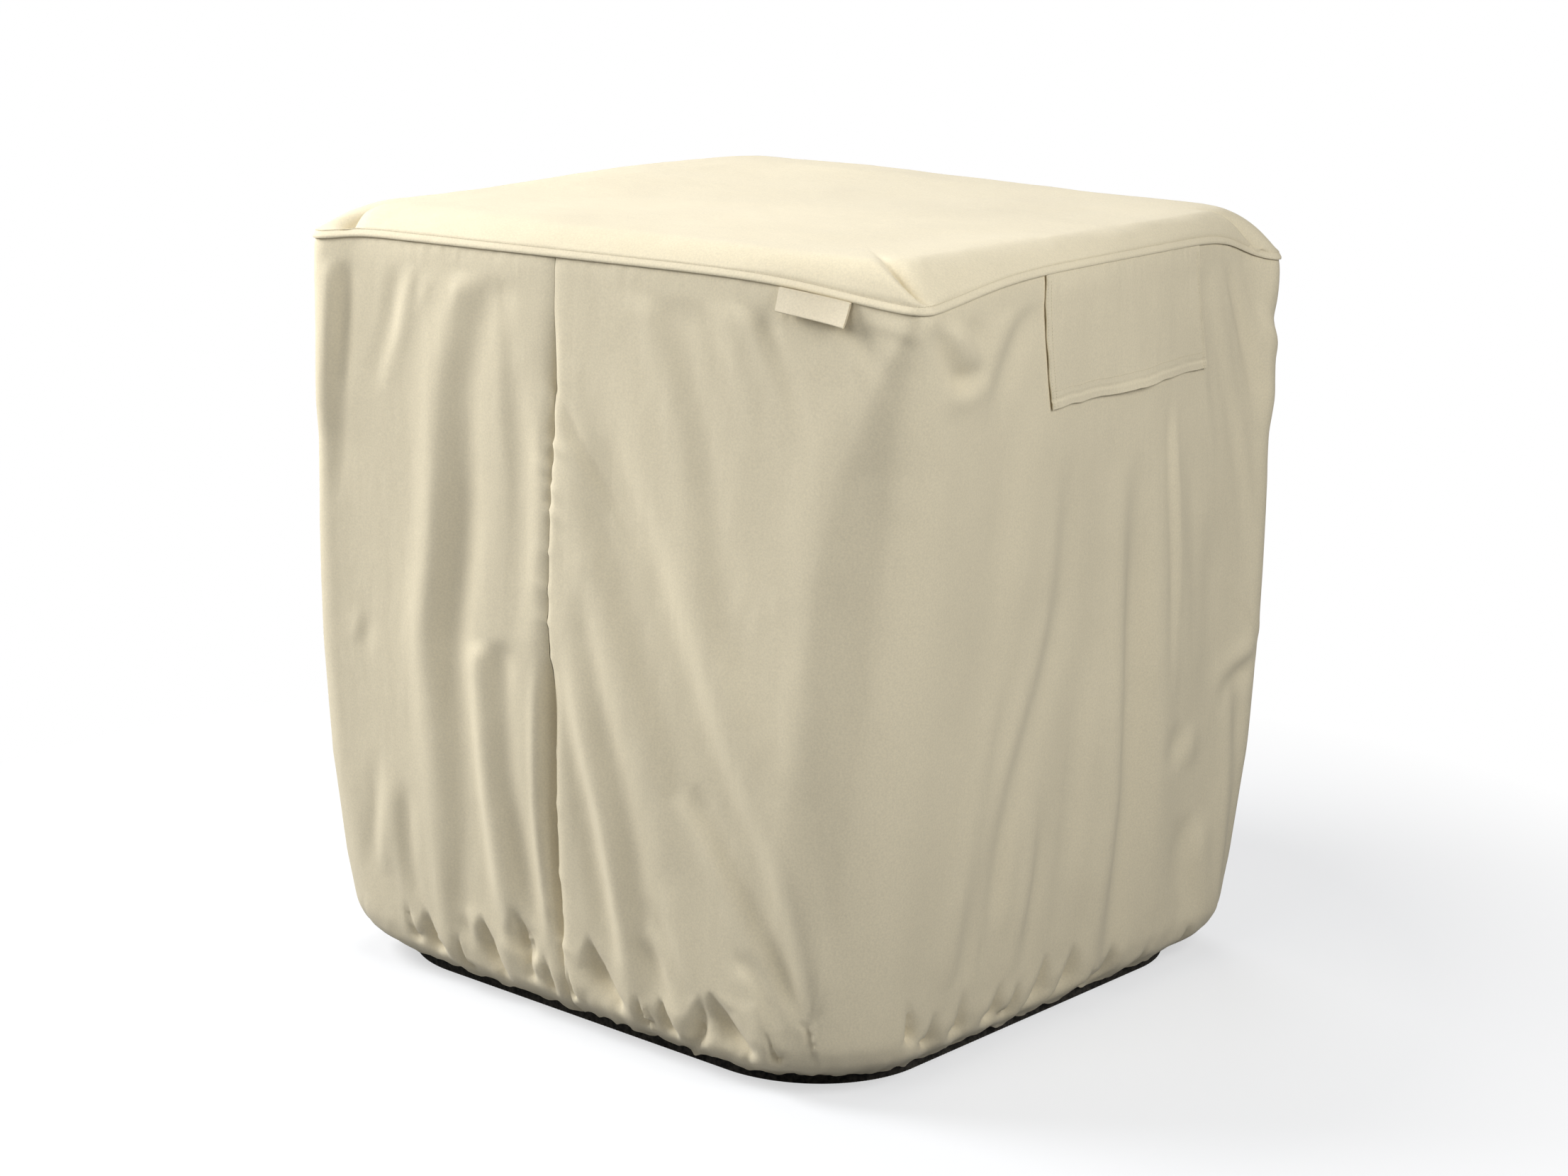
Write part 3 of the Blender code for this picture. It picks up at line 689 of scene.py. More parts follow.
def stroke_push(total, along, height, path, width, depth, flank=False, crease=False):
    """Add one soft stroke drawn down the cloth to the push of each place.

    The path holds its strength at each point. A flank slopes down to its right. A crease
    starts as a sharp point, widens as it grows stronger and lifts the cloth at its sides.
    """
    line = spline(path, 5)
    turn = 4 * ROUND
    reach = 3.4 * width
    middle = line[:, 0].mean()
    apart = (along - middle + turn / 2) % turn - turn / 2 + middle
    inside = ((apart > line[:, 0].min() - reach) & (apart < line[:, 0].max() + reach)
              & (height > line[:, 1].min() - reach) & (height < line[:, 1].max() + reach))
    if not inside.any():
        return
    places = np.stack((apart[inside], height[inside]), axis=1)
    nearest = np.full(len(places), 1e9)
    signed = np.zeros(len(places))
    strength = np.zeros(len(places))
    for here, there in zip(line, line[1:]):
        run = there[:2] - here[:2]
        offset = places - here[:2]
        share = np.clip(offset @ run / (run @ run), 0.0, 1.0)
        from_line = offset - share[:, None] * run
        distance = np.hypot(from_line[:, 0], from_line[:, 1])
        side = np.sign(run[0] * offset[:, 1] - run[1] * offset[:, 0])
        closer = distance < nearest
        nearest = np.where(closer, distance, nearest)
        signed = np.where(closer, side, signed)
        strength = np.where(closer, here[2] * (1 - share) + there[2] * share, strength)
    far = nearest / width
    if flank:
        profile = -signed * far * np.exp(0.5 - far ** 2 / 2)
    elif crease:
        far = far / (0.12 + 0.88 * np.clip(strength / 1.4, 0.0, 1.0))
        profile = 1.32 * np.exp(-far ** 1.3) - 0.32 * np.exp(-(far / 2.2) ** 2)
    else:
        profile = np.exp(-far ** 2)
    total[inside] += depth * strength * profile


def lattice_noise(x, y, seed):
    """Smooth random values from -1 to 1 on a plane, one bump to a unit square."""
    values = np.random.default_rng(seed).uniform(-1, 1, (64, 64))
    column = np.floor(x).astype(int)
    row = np.floor(y).astype(int)
    across = smooth_step(x - column)
    up = smooth_step(y - row)
    low = (values[row % 64, column % 64] * (1 - across)
           + values[row % 64, (column + 1) % 64] * across)
    high = (values[(row + 1) % 64, column % 64] * (1 - across)
            + values[(row + 1) % 64, (column + 1) % 64] * across)
    return low * (1 - up) + high * up


def crumple(along, height, seed):
    """Uneven dents at three sizes, a little longer down the cloth than across it."""
    total = 0.0
    for number, dent in enumerate(DENTS):
        total = total + dent.share * lattice_noise(
            along / dent.across + dent.shift + height * dent.slant, height / dent.down,
            seed + number)
    return total


def seam_offset(around, height):
    """Metres to the right of the panel seam, as seen from outside."""
    apart = around - line_round(PANEL_SEAM, height)
    return ((apart + 2) % 4 - 2) * ROUND


def pocket_path(pocket):
    """The line of a crease at the hem, with its strength at each point."""
    ends = ((*pocket.start, POCKET_DROP, 0.0), (*pocket.deep, POCKET_SINK, 1.0),
            (*pocket.end, POCKET_DROP, POCKET_FADE))
    return [(*photo_place(pocket.face, across, down + drop), pocket.strength * share)
            for across, down, drop, share in ends]


def fold_push(around, height, sizes):
    """Push of every fold, pocket and pucker of the skirt."""
    along = around * ROUND
    total = np.zeros_like(around)
    for flank in FLANKS:
        path = [(*photo_place(flank.face, across, down), strength)
                for across, down, strength in flank.path]
        depth = FLANK_SLOPE * flank.width / math.sqrt(math.e)
        stroke_push(total, along, height, path, flank.width, depth, flank=True)
    for fold in HIDDEN_FOLDS:
        path = [(float(place_round(fold.face, place, top)) * ROUND, top, strength)
                for place, top, strength in fold.path]
        stroke_push(total, along, height, path, fold.width, fold.depth)
    total *= sizes.fold_depth * smooth_step((FOLDS_START - height) / FADE_LENGTH)
    for pocket in POCKETS:
        stroke_push(total, along, height, pocket_path(pocket), POCKET_WIDEN * pocket.width,
                    -POCKET_DEPTH, crease=True)
    random = np.random.default_rng(SEED)
    for number in range(HIDDEN_GATHERS):
        first = (2 + 2 * (number + random.uniform(0.2, 0.8)) / HIDDEN_GATHERS) * ROUND
        top = random.uniform(*GATHER_TOPS)
        width = random.uniform(*GATHER_WIDTHS)
        depth = random.uniform(*GATHER_DEPTHS)
        path = ((first, top, 0.0), (first + 0.004, top - 0.03, 1.0), (first, GATHER_LOW, 0.6))
        stroke_push(total, along, height, path, width, depth, crease=True)
    for pucker in PUCKERS:
        first = float(line_round(PANEL_SEAM, pucker.height)) * ROUND
        path = ((first, pucker.height, 1.0),
                (first + pucker.side * pucker.reach, pucker.height + pucker.rise, 0.0))
        stroke_push(total, along, height, path, PUCKER_WIDTH, pucker.depth)
    offset = seam_offset(around, height)
    width = np.where(offset < 0, GROOVE_LEFT, GROOVE_RIGHT)
    total -= at_height(GROOVE_DEPTHS, height) * np.exp(-np.abs(offset) / width)
    return total


def fine_push(around, height, sizes):
    """Push of the crumpled cloth and of the small pleats at the welt and the hem."""
    along = around * ROUND
    seam = seam_height(around)
    below = seam - height
    quiet = smooth_step(below / 0.02) * smooth_step((height - BAND_TOP) / FADE_LENGTH)
    push = sizes.crumple * quiet * crumple(along, height, SEED)
    pleats = (lattice_noise(along / PLEAT_PITCH, 0 * along, SEED + 5)
              * (0.55 + 0.45 * lattice_noise(along / 0.08, 0 * along, SEED + 6)))
    push += (PLEAT_DEPTH * pleats * np.exp(-np.maximum(below, 0) / PLEAT_REACH)
             * smooth_step(below / 0.003))
    push -= WELT_TUCK * np.exp(-np.maximum(below, 0) / TUCK_REACH)
    low = height - HEM_HEIGHT
    gathers = (lattice_noise((along - 0.5 * low) / GATHER_PITCH, low / 0.05, SEED + 7)
               + 0.5 * lattice_noise((along + 0.4 * low) / GATHER_FINE_PITCH, low / 0.04,
                                     SEED + 8))
    push += GATHER_DEPTH * gathers * np.exp(-np.maximum(low, 0) / GATHER_REACH)
    return push


def plan_point(around, half, corner, turn, push):
    """Plan position of places round the cover, pushed outwards by a distance."""
    around = around % 4
    face = np.minimum(np.floor(around), 3)
    share = 2 * (around - face) - 1
    flat = half - corner
    angle = np.arctan(share)
    out, side = np.cos(angle), np.abs(np.sin(angle))
    under = np.maximum(corner ** 2 - flat ** 2 * (out - side) ** 2, 0.0)
    reach = flat * (out + side) + np.sqrt(under)
    straight = np.abs(share) * half <= flat
    x = np.where(straight, half, reach * out)
    y = np.where(straight, np.abs(share) * half, reach * side)
    safe = np.maximum(corner, 1e-6)
    normal_x = np.where(straight, 1.0, (x - flat) / safe)
    normal_y = np.where(straight, 0.0, (y - flat) / safe)
    mirror = np.where(share < 0, -1.0, 1.0)
    x = x + normal_x * push
    y = (y + normal_y * push) * mirror
    spin = turn + (face - 1) * math.pi / 2
    return x * np.cos(spin) - y * np.sin(spin), x * np.sin(spin) + y * np.cos(spin)


def skirt_point(around, height, sizes, push=0.0):
    """Places on the outer side of the skirt."""
    total = (push + ear_push(around, height) + fold_push(around, height, sizes)
             + fine_push(around, height, sizes))
    x, y = plan_point(around, at_height(HALVES, height), corner_radius(around, height),
                      at_height(TURNS, height), total)
    return np.stack((x, y, height), axis=-1)


def columns_round(spans, height):
    """Where each column of cloth stands round the cover; height has a column for each."""
    places = []
    column = 0
    for number, span in enumerate(spans):
        first = 0 if number == 0 else 1
        for step in range(first, span.columns + 1):
            share = step / span.columns
            start = line_round(span.start, height[..., column])
            end = line_round(span.end, height[..., column])
            end = np.where(end < start, end + 4, end)
            places.append(start * (1 - share) + end * share)
            column += 1
    return np.stack(places, axis=-1)


def count_columns(spans):
    """How many edges of columns a run of spans has."""
    return 1 + sum(span.columns for span in spans)


def grid_normals(points, closed):
    """Outward directions of a grid whose columns run to the right and rows run down."""
    if closed:
        across = np.roll(points, -1, axis=1) - np.roll(points, 1, axis=1)
    else:
        across = np.gradient(points, axis=1)
    down = np.gradient(points, axis=0)
    normal = np.cross(down, across)
    length = np.linalg.norm(normal, axis=-1, keepdims=True)
    return normal / np.maximum(length, 1e-12)


def make_mesh(name, points, faces, uv):
    """A mesh with smooth faces and a layer of cloth coordinates in metres."""
    mesh = bpy.data.meshes.new(name)
    mesh.from_pydata(points.tolist(), [], faces)
    layer = mesh.uv_layers.new(name="cloth")
    corners = np.empty(len(mesh.loops), dtype=np.int32)
    mesh.loops.foreach_get("vertex_index", corners)
    layer.data.foreach_set("uv", uv[corners].astype(np.float32).ravel())
    mesh.shade_smooth()
    mesh.set_sharp_from_angle(angle=math.radians(60))
    mesh.validate()
    piece = bpy.data.objects.new(name, mesh)
    bpy.context.scene.collection.objects.link(piece)
    return piece


def grid_faces(rows, columns, closed, first, flip):
    """Four-sided faces of a grid, which start at a vertex number."""
    row, column = np.meshgrid(np.arange(rows - 1),
                              np.arange(columns if closed else columns - 1), indexing="ij")
    beside = (column + 1) % columns
    quads = np.stack((row * columns + column, (row + 1) * columns + column,
                      (row + 1) * columns + beside, row * columns + beside), axis=-1)
    quads = quads.reshape(-1, 4) + first
    return quads[:, ::-1] if flip else quads


def shell(name, outer, thickness, uv, closed=False):
    """A sheet of cloth from its outer side, with its inner side and its edges."""
    rows, columns, _ = outer.shape
    inner = outer - grid_normals(outer, closed) * thickness
    points = np.concatenate((outer.reshape(-1, 3), inner.reshape(-1, 3)))
    both_uv = np.concatenate((uv.reshape(-1, 2), uv.reshape(-1, 2)))
    count = rows * columns
    faces = np.concatenate((grid_faces(rows, columns, closed, 0, False),
                            grid_faces(rows, columns, closed, count, True)))
    edges = []
    width = columns if closed else columns - 1
    for column in range(width):
        beside = (column + 1) % columns
        edges.append((column, beside, beside + count, column + count))
        low = (rows - 1) * columns
        edges.append((low + beside, low + column, low + column + count, low + beside + count))
    if not closed:
        for row in range(rows - 1):
            here, under = row * columns, (row + 1) * columns
            edges.append((under, here, here + count, under + count))
            here, under = here + columns - 1, under + columns - 1
            edges.append((here, under, under + count, here + count))
    return make_mesh(name, points, faces.tolist() + edges, both_uv)


def finish_piece(piece, node, body="root"):
    """Hide the CAD part that a piece stands for, and tie the piece to its body."""
    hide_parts(node)
    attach(piece, body)


def mix_colours(nodes, links, mode, factor, first, second):
    """A colour mix whose inputs are sockets or values."""
    mix = nodes.new("ShaderNodeMix")
    mix.data_type = "RGBA"
    mix.blend_type = mode
    for socket, value in (("Factor_Float", factor), ("A_Color", first), ("B_Color", second)):
        target = next(s for s in mix.inputs if s.identifier == socket)
        if isinstance(value, bpy.types.NodeSocket):
            links.new(value, target)
        elif socket == "Factor_Float":
            target.default_value = value
        else:
            target.default_value = (*value, 1.0)
    return next(s for s in mix.outputs if s.identifier == "Result_Color")


def add_noise(nodes, links, place, scale, detail):
    """A noise texture on some coordinates."""
    noise = nodes.new("ShaderNodeTexNoise")
    noise.inputs["Scale"].default_value = scale
    noise.inputs["Detail"].default_value = detail
    links.new(place, noise.inputs["Vector"])
    return noise.outputs["Fac"]


def add_range(nodes, links, value, low, high, to_low, to_high):
    """Map a value from one range to another."""
    span = nodes.new("ShaderNodeMapRange")
    links.new(value, span.inputs["Value"])
    span.inputs["From Min"].default_value = low
    span.inputs["From Max"].default_value = high
    span.inputs["To Min"].default_value = to_low
    span.inputs["To Max"].default_value = to_high
    return span.outputs["Result"]


def add_math(nodes, links, operation, first, second):
    """A sum on two sockets or values."""
    node = nodes.new("ShaderNodeMath")
    node.operation = operation
    for target, value in zip(node.inputs, (first, second)):
        if isinstance(value, bpy.types.NodeSocket):
            links.new(value, target)
        else:
            target.default_value = value
    return node.outputs["Value"]


def add_bump(nodes, links, height, strength, distance, below=None):
    """A bump that adds to another."""
    bump = nodes.new("ShaderNodeBump")
    bump.inputs["Strength"].default_value = strength
    bump.inputs["Distance"].default_value = distance
    links.new(height, bump.inputs["Height"])
    if below is not None:
        links.new(below, bump.inputs["Normal"])
    return bump.outputs["Normal"]


def cloth_material(name, colour, low_tone, pitch, roughness=0.74, sheen=0.12):
    """Fine woven cloth with a weave, uneven colour, small dents and a darker tone in patches
    towards the hem.
    """
    found = bpy.data.materials.get(name)
    if found is not None:
        return found
    material = bpy.data.materials.new(name)
    material.use_nodes = True
    nodes, links = material.node_tree.nodes, material.node_tree.links
    shader = nodes["Principled BSDF"]
    place = nodes.new("ShaderNodeTexCoord")
    at = place.outputs["Object"]
    cloth = nodes.new("ShaderNodeUVMap")
    cloth.uv_map = "cloth"
    split = nodes.new("ShaderNodeSeparateXYZ")
    links.new(cloth.outputs["UV"], split.inputs["Vector"])
    turns = 2 * math.pi / pitch
    waves = [add_math(nodes, links, "SINE", add_math(nodes, links, "MULTIPLY", axis, turns), 0.0)
             for axis in (split.outputs["X"], split.outputs["Y"])]
    weave = add_math(nodes, links, "MULTIPLY", waves[0], waves[1])
    broad = add_range(nodes, links, add_noise(nodes, links, at, 3.2, 4), 0.3, 0.7, 0.94, 1.04)
    fine = add_range(nodes, links, add_noise(nodes, links, at, 420, 2), 0.25, 0.75, 0.93, 1.06)
    tone = add_math(nodes, links, "MULTIPLY", broad, fine)
    combined = nodes.new("ShaderNodeCombineColor")
    for channel in ("Red", "Green", "Blue"):
        links.new(tone, combined.inputs[channel])
    base = mix_colours(nodes, links, "MULTIPLY", 1.0, colour, combined.outputs["Color"])
    # Darker towards the hem: below -0.80 m the colour is mixed, in patches, towards the darker
    # low tone
    ends = nodes.new("ShaderNodeSeparateXYZ")
    links.new(at, ends.inputs["Vector"])
    low = add_range(nodes, links, ends.outputs["Z"], -0.80, -0.985, 0.0, 0.30)
    darkening = add_math(nodes, links, "MULTIPLY", low, add_noise(nodes, links, at, 14, 5))
    links.new(mix_colours(nodes, links, "MIX", darkening, base, low_tone), shader.inputs["Base Color"])
    rough = add_range(nodes, links, add_noise(nodes, links, at, 9, 3), 0.3, 0.7,
                      roughness - 0.05, roughness + 0.05)
    links.new(rough, shader.inputs["Roughness"])
    shader.inputs["Metallic"].default_value = 0.0
    shader.inputs["Specular IOR Level"].default_value = 0.35
    shader.inputs["Sheen Weight"].default_value = sheen
    shader.inputs["Sheen Roughness"].default_value = 0.45
    stretch = nodes.new("ShaderNodeMapping")
    stretch.inputs["Scale"].default_value = (1.0, 1.0, 0.22)
    links.new(at, stretch.inputs["Vector"])
    streaks = add_noise(nodes, links, stretch.outputs["Vector"], 26, 4)
    long = add_bump(nodes, links, streaks, 0.35, 0.0045)
    dents = add_bump(nodes, links, add_noise(nodes, links, at, 30, 5), 0.25, 0.002, long)
    small = add_bump(nodes, links, add_noise(nodes, links, at, 260, 3), 0.30, 0.0004, dents)
    links.new(add_bump(nodes, links, weave, 0.45, 0.00012, small), shader.inputs["Normal"])
    return material


def plain_material(name, colour, roughness, speck=0.0, scale=300):
    """A plain finish with a little fine variation."""
    material = bpy.data.materials.new(name)
    material.use_nodes = True
    nodes, links = material.node_tree.nodes, material.node_tree.links
    shader = nodes["Principled BSDF"]
    place = nodes.new("ShaderNodeTexCoord")
    noise = add_noise(nodes, links, place.outputs["Object"], scale, 3)
    bright = tuple(min(1.0, part * (1 + speck) + 0.02 * speck) for part in colour)
    dark = tuple(part * max(0.0, 1 - speck) for part in colour)
    factor = add_range(nodes, links, noise, 0.35, 0.65, 0.0, 1.0)
    links.new(mix_colours(nodes, links, "MIX", factor, dark, bright),
              shader.inputs["Base Color"])
    shader.inputs["Roughness"].default_value = roughness
    shader.inputs["Metallic"].default_value = 0.0
    return material


def floor_material(colour):
    """A pale matt floor that fades into the white backdrop far from the cover."""
    material = bpy.data.materials.new("floor")
    material.use_nodes = True
    nodes, links = material.node_tree.nodes, material.node_tree.links
    shader = nodes["Principled BSDF"]
    shader.inputs["Roughness"].default_value = 0.9
    shader.inputs["Metallic"].default_value = 0.0
    shader.inputs["Specular IOR Level"].default_value = 0.1
    ray = nodes.new("ShaderNodeLightPath").outputs["Is Camera Ray"]
    dim = tuple(part * FLOOR_BOUNCE for part in colour)
    links.new(mix_colours(nodes, links, "MIX", ray, dim, colour), shader.inputs["Base Color"])
    place = nodes.new("ShaderNodeTexCoord")
    length = nodes.new("ShaderNodeVectorMath")
    length.operation = "LENGTH"
    links.new(place.outputs["Object"], length.inputs[0])
    far = add_range(nodes, links, length.outputs["Value"], FLOOR_NEAR, FLOOR_FAR,
                    FLOOR_GLOW, 1.0)
    glow = nodes.new("ShaderNodeEmission")
    mix = nodes.new("ShaderNodeMixShader")
    links.new(add_math(nodes, links, "MULTIPLY", far, ray), mix.inputs[0])
    links.new(shader.outputs["BSDF"], mix.inputs[1])
    links.new(glow.outputs["Emission"], mix.inputs[2])
    links.new(mix.outputs["Shader"], nodes["Material Output"].inputs["Surface"])
    return material


def cover_cloth(scene):
    """The cloth that the top, the skirt and the flap are cut from.

    Its name isn't its slot's, because the frame brings plain materials of those names.
    """
    colours, sizes = scene.cover_colours, scene.cover_sizes
    return cloth_material("cover_weave", tuple(colours.cloth), tuple(colours.low_tone), sizes.weave)


def skirt_heights(spans):
    """Heights of each row in each column, from the tuck under the welt to the hem."""
    columns = count_columns(spans)
    level = np.full((1, columns), SEAM_HEIGHT)
    around = columns_round(spans, level)[0]
    seam = seam_height(around)
    share = np.linspace(0, 1, SKIRT_ROWS)
    share = np.interp(share, (0.0, 0.06, 0.78, 1.0), (0.0, 0.035, 0.88, 1.0))
    low = HEM_HEIGHT + HEM_WAVE * lattice_noise(around * ROUND / 0.034, 0 * around, SEED + 9)
    for pocket in POCKETS:
        place = pocket_path(pocket)[-1][0]
        apart = (around * ROUND - place + 2 * ROUND) % (4 * ROUND) - 2 * ROUND
        low = low + POCKET_LIFT * (np.exp(-(apart / SCALLOP_WIDTH) ** 2)
                                   - SCALLOP_SAG * np.exp(-(apart / SCALLOP_REACH) ** 2))
    heights = seam + (low - seam) * share[:, None]
    return np.vstack((seam + TUCK, heights))


def make_skirt(name, spans, sizes):
    """One panel of the skirt."""
    heights = skirt_heights(spans)
    around = columns_round(spans, heights)
    around[:, 0] += GAP / 2 / ROUND
    around[:, -1] -= GAP / 2 / ROUND
    outer = skirt_point(around, heights, sizes)
    uv = np.stack((around * ROUND, heights), axis=-1)
    return shell(name, outer, sizes.cloth, uv)


def top_edge_rings(count):
    """The rings of the top's edge, evened out."""
    rows = np.array([tuple(ring) for ring in TOP_EDGE])
    marks = np.concatenate(([0.0], np.cumsum(np.hypot(np.diff(rows[:, 0]),
                                                      np.diff(rows[:, 2]) * 0.03))))
    fine = spline(rows, 12)
    fine_marks = np.concatenate(([0.0], np.cumsum(np.hypot(np.diff(fine[:, 0]),
                                                           np.diff(fine[:, 2]) * 0.03))))
    wanted = np.linspace(0, fine_marks[-1], count)
    return [np.interp(wanted, fine_marks, fine[:, column]) for column in range(3)]


def top_height(around, drop, share):
    """Height of the top: flat on the unit, lifted at its back corner, sloping at its edge."""
    shoulder = seam_height(around) + WELT_HEIGHT
    lift = TOP_LIFT * np.exp(-(gap_round(around, 3) / TOP_LIFT_WIDTH) ** 4)
    past = np.power(share, SHOULDER_CURVE)
    return shoulder * past + lift * (1 - past) * drop


def crease_dents(around, share):
    """How far the creases at the ears and the front corner let the shoulder sink."""
    sunk = np.zeros_like(around)
    for crease in CREASES:
        offset = ((around - crease.around + 2) % 4 - 2) * ROUND - crease.lean * (1 - share)
        beside = offset * crease.side
        facet = smooth_step(beside / crease.width) * np.exp(
            -np.maximum(beside / crease.width - 1, 0.0) * 1.2)
        sunk += crease.drop * (0.30 * np.exp(-np.abs(offset) / CREASE_FOLD) + facet)
    return sunk * 4 * share * (1 - share)


def make_top(sizes):
    """The square top, its sloping shoulder and the welt along the seam."""
    columns = count_columns(TOP_COLUMNS) - 1
    level = np.full((1, columns + 1), SEAM_HEIGHT)
    around = columns_round(TOP_COLUMNS, level)[0][:-1]
    seam = seam_height(around)
    past, corner, share = top_edge_rings(TOP_EDGE_RINGS)
    rows = []
    flat_half = UNIT_HALF + past[0]
    for ring in range(1, TOP_INNER_RINGS):
        size = ring / TOP_INNER_RINGS
        rows.append((flat_half * size, corner[0] * size, 0.0, size))
    rows += [(UNIT_HALF + p, c, s, 1.0) for p, c, s in zip(past, corner, share)]
    outer = []
    for half, radius, drop_share, drop in rows:
        halves = np.full_like(around, half)
        push = ear_push(around, seam) * drop_share
        x, y = plan_point(around, halves, np.full_like(around, radius),
                          np.full_like(around, math.radians(SECTIONS[0].turn) * drop_share),
                          push)
        shares = np.full_like(around, drop_share)
        z = top_height(around, drop ** 2, shares)
        dents = (TOP_DENT_BROAD * lattice_noise(x / 0.16 + 9, y / 0.20 + 4, SEED + 11)
                 + TOP_DENT_FINE * lattice_noise(x / 0.06 + 2, y / 0.07 + 4, SEED + 12))
        edge = math.exp(-((half - UNIT_HALF - 0.015) / 0.022) ** 2)
        along = around * ROUND
        dents = dents * (1 - drop_share) * (1 - edge) + SHOULDER_DENT * edge * crumple(
            along * 1.3, np.full_like(along, half * 3), SEED + 14)
        dents = dents - crease_dents(around, drop_share)
        outer.append(np.stack((x, y, z + dents), axis=-1))
    outer = outer[:-1]
    for height, bulge in WELT_PROFILE:
        x, y = plan_point(around, at_height(HALVES, seam), corner_radius(around, seam),
                          at_height(TURNS, seam),
                          ear_push(around, seam) + sizes.cloth + GAP - WELT_TUCK
                          + WELT_STAND + bulge)
        outer.append(np.stack((x, y, seam + height), axis=-1))
    outer = np.array(outer)
    count = outer.shape[0] * outer.shape[1]
    inner = outer - grid_normals(outer, True) * sizes.cloth
    middle = outer[0].mean(axis=0)
    points = np.concatenate((outer.reshape(-1, 3), inner.reshape(-1, 3), middle[None],
                             (middle - Vector((0, 0, sizes.cloth)))[None]))
    faces = np.concatenate((grid_faces(outer.shape[0], columns, True, 0, False),
                            grid_faces(outer.shape[0], columns, True, count, True))).tolist()
    low = (outer.shape[0] - 1) * columns
    for column in range(columns):
        beside = (column + 1) % columns
        faces.append((low + beside, low + column, low + column + count, low + beside + count))
        faces.append((2 * count, column, beside))
        faces.append((2 * count + 1, beside + count, column + count))
    return make_mesh("cover_top", points, faces, points[:, :2])


def flap_grid(sizes):
    """The outer side of the vent flap, with its places round the cover and its heights."""
    spans = (Span(FLAP_LEFT, FLAP_RIGHT, FLAP_COLUMNS),)
    columns = count_columns(spans)
    around = columns_round(spans, np.full((1, columns), SEAM_HEIGHT))[0]
    share = np.linspace(0, 1, columns)
    seam = seam_height(around) - GAP
    low = (FLAP_LOW + 0.004 * share + 0.0015 * np.sin(share * 9)
           + 0.0010 * lattice_noise(share * 17, 0 * share, SEED + 20))
    down = np.interp(np.linspace(0, 1, FLAP_ROWS), (0, 0.8, 1), (0, 0.86, 1))[:, None]
    heights = seam + (low - seam) * down
    around = columns_round(spans, heights)
    across = share[None, :] * np.ones_like(down)
    from_left, from_right = across * FLAP_WIDTH, (1 - across) * FLAP_WIDTH
    above = heights - low
    push = np.full_like(heights, sizes.flap_cloth + FLAP_LIFT)
    push += 0.0012 * np.exp(-from_left / 0.006) * (1 + 0.5 * np.sin(heights * 130))
    push += 0.0004 * np.exp(-from_right / 0.006)
    push += 0.0007 * smooth_step((FLAP_HEM - above) / 0.002)
    push -= 0.0008 * np.exp(-((above - FLAP_HEM - 0.0003) / 0.0016) ** 2)
    push += ((FLAP_GAPE * np.exp(-((across - FLAP_GAPE_MIDDLE) / 0.16) ** 2) + 0.0003)
             * np.exp(-above / 0.018))
    push += 0.0016 * (crumple(around * ROUND, heights * 0.8, SEED + 21) + 0.9) * smooth_step(
        down * 6) * smooth_step(from_left / 0.02)
    push -= 0.0012 * np.exp(-(((across - 0.80) + heights * 0.3) / 0.05) ** 2) * down
    push = np.maximum(push, sizes.flap_cloth + 0.0006)
    return skirt_point(around, heights, sizes, push), around, heights


def make_flap(sizes):
    """The flap over the vent, lying on the skirt below the welt."""
    outer, around, heights = flap_grid(sizes)
    uv = np.stack((around * ROUND, heights), axis=-1)
    return shell("cover_vent_flap", outer, sizes.flap_cloth, uv)


def make_label(sizes):
    """The bare label: a strip folded double, hanging from the welt."""
    drop, fold = LABEL_DROP, LABEL_FOLD
    across = np.linspace(0, 1, 30)
    along = LABEL_LEFT + (LABEL_RIGHT - LABEL_LEFT) * across
    around = place_round("front", along, SEAM_HEIGHT)
    top = seam_height(around) - GAP
    run = np.concatenate((np.linspace(0, 1, 14)[:-1] * (drop - fold),
                          np.full(9, drop - fold), np.linspace(1, 0, 14)[1:] * (drop - fold)))
    turn = np.concatenate((np.zeros(13), np.linspace(0, math.pi, 9), np.full(13, math.pi)))
    down = run + fold * np.sin(turn)
    lean = LABEL_LEAN * (down / drop)[:, None] ** 1.2 * (0.75 + 0.5 * across)
    curl = LABEL_CURL * np.sin(across * 5.0 + 0.6)
    clear = sizes.label_cloth + fold + 0.0010
    push = clear + fold * np.cos(turn)[:, None] + lean + curl
    heights = top - down[:, None]
    around = around + 0 * heights
    x, y = plan_point(around, at_height(HALVES, heights), corner_radius(around, heights),
                      at_height(TURNS, heights), ear_push(around, heights) + push)
    outer = np.stack((x, y, heights), axis=-1)
    lengths = np.concatenate(([0.0], np.cumsum(np.hypot(np.diff(down),
                                                        np.diff(fold * np.cos(turn))))))
    uv = np.stack((along + 0 * heights, lengths[:, None] + 0 * heights), axis=-1)
    return shell("cover_label", outer, sizes.label_cloth, uv)


def make_band(sizes):
    """The ribbed elastic band that the hem is gathered on; its near-black colour is painted
    shade under the gathered hem.
    """
    around = np.linspace(0, 4, BAND_COLUMNS, endpoint=False) + np.zeros((BAND_ROWS, 1))
    heights = np.linspace(BAND_TOP, BAND_LOW, BAND_ROWS)[:, None] + 0 * around
    ribs = RIB_DEPTH * np.sin(around * ROUND * 2 * math.pi / RIB_PITCH)
    lowest = SECTIONS[-1]
    x, y = plan_point(around, np.full_like(around, lowest.half),
                      np.full_like(around, lowest.left),
                      np.full_like(around, math.radians(lowest.turn)),
                      -sizes.cloth - 2 * GAP + ribs - 0.0008)
    outer = np.stack((x, y, heights), axis=-1)
    uv = np.stack((around * ROUND, heights), axis=-1)
    return shell("cover_hem_band", outer, sizes.band_cloth, uv, closed=True)


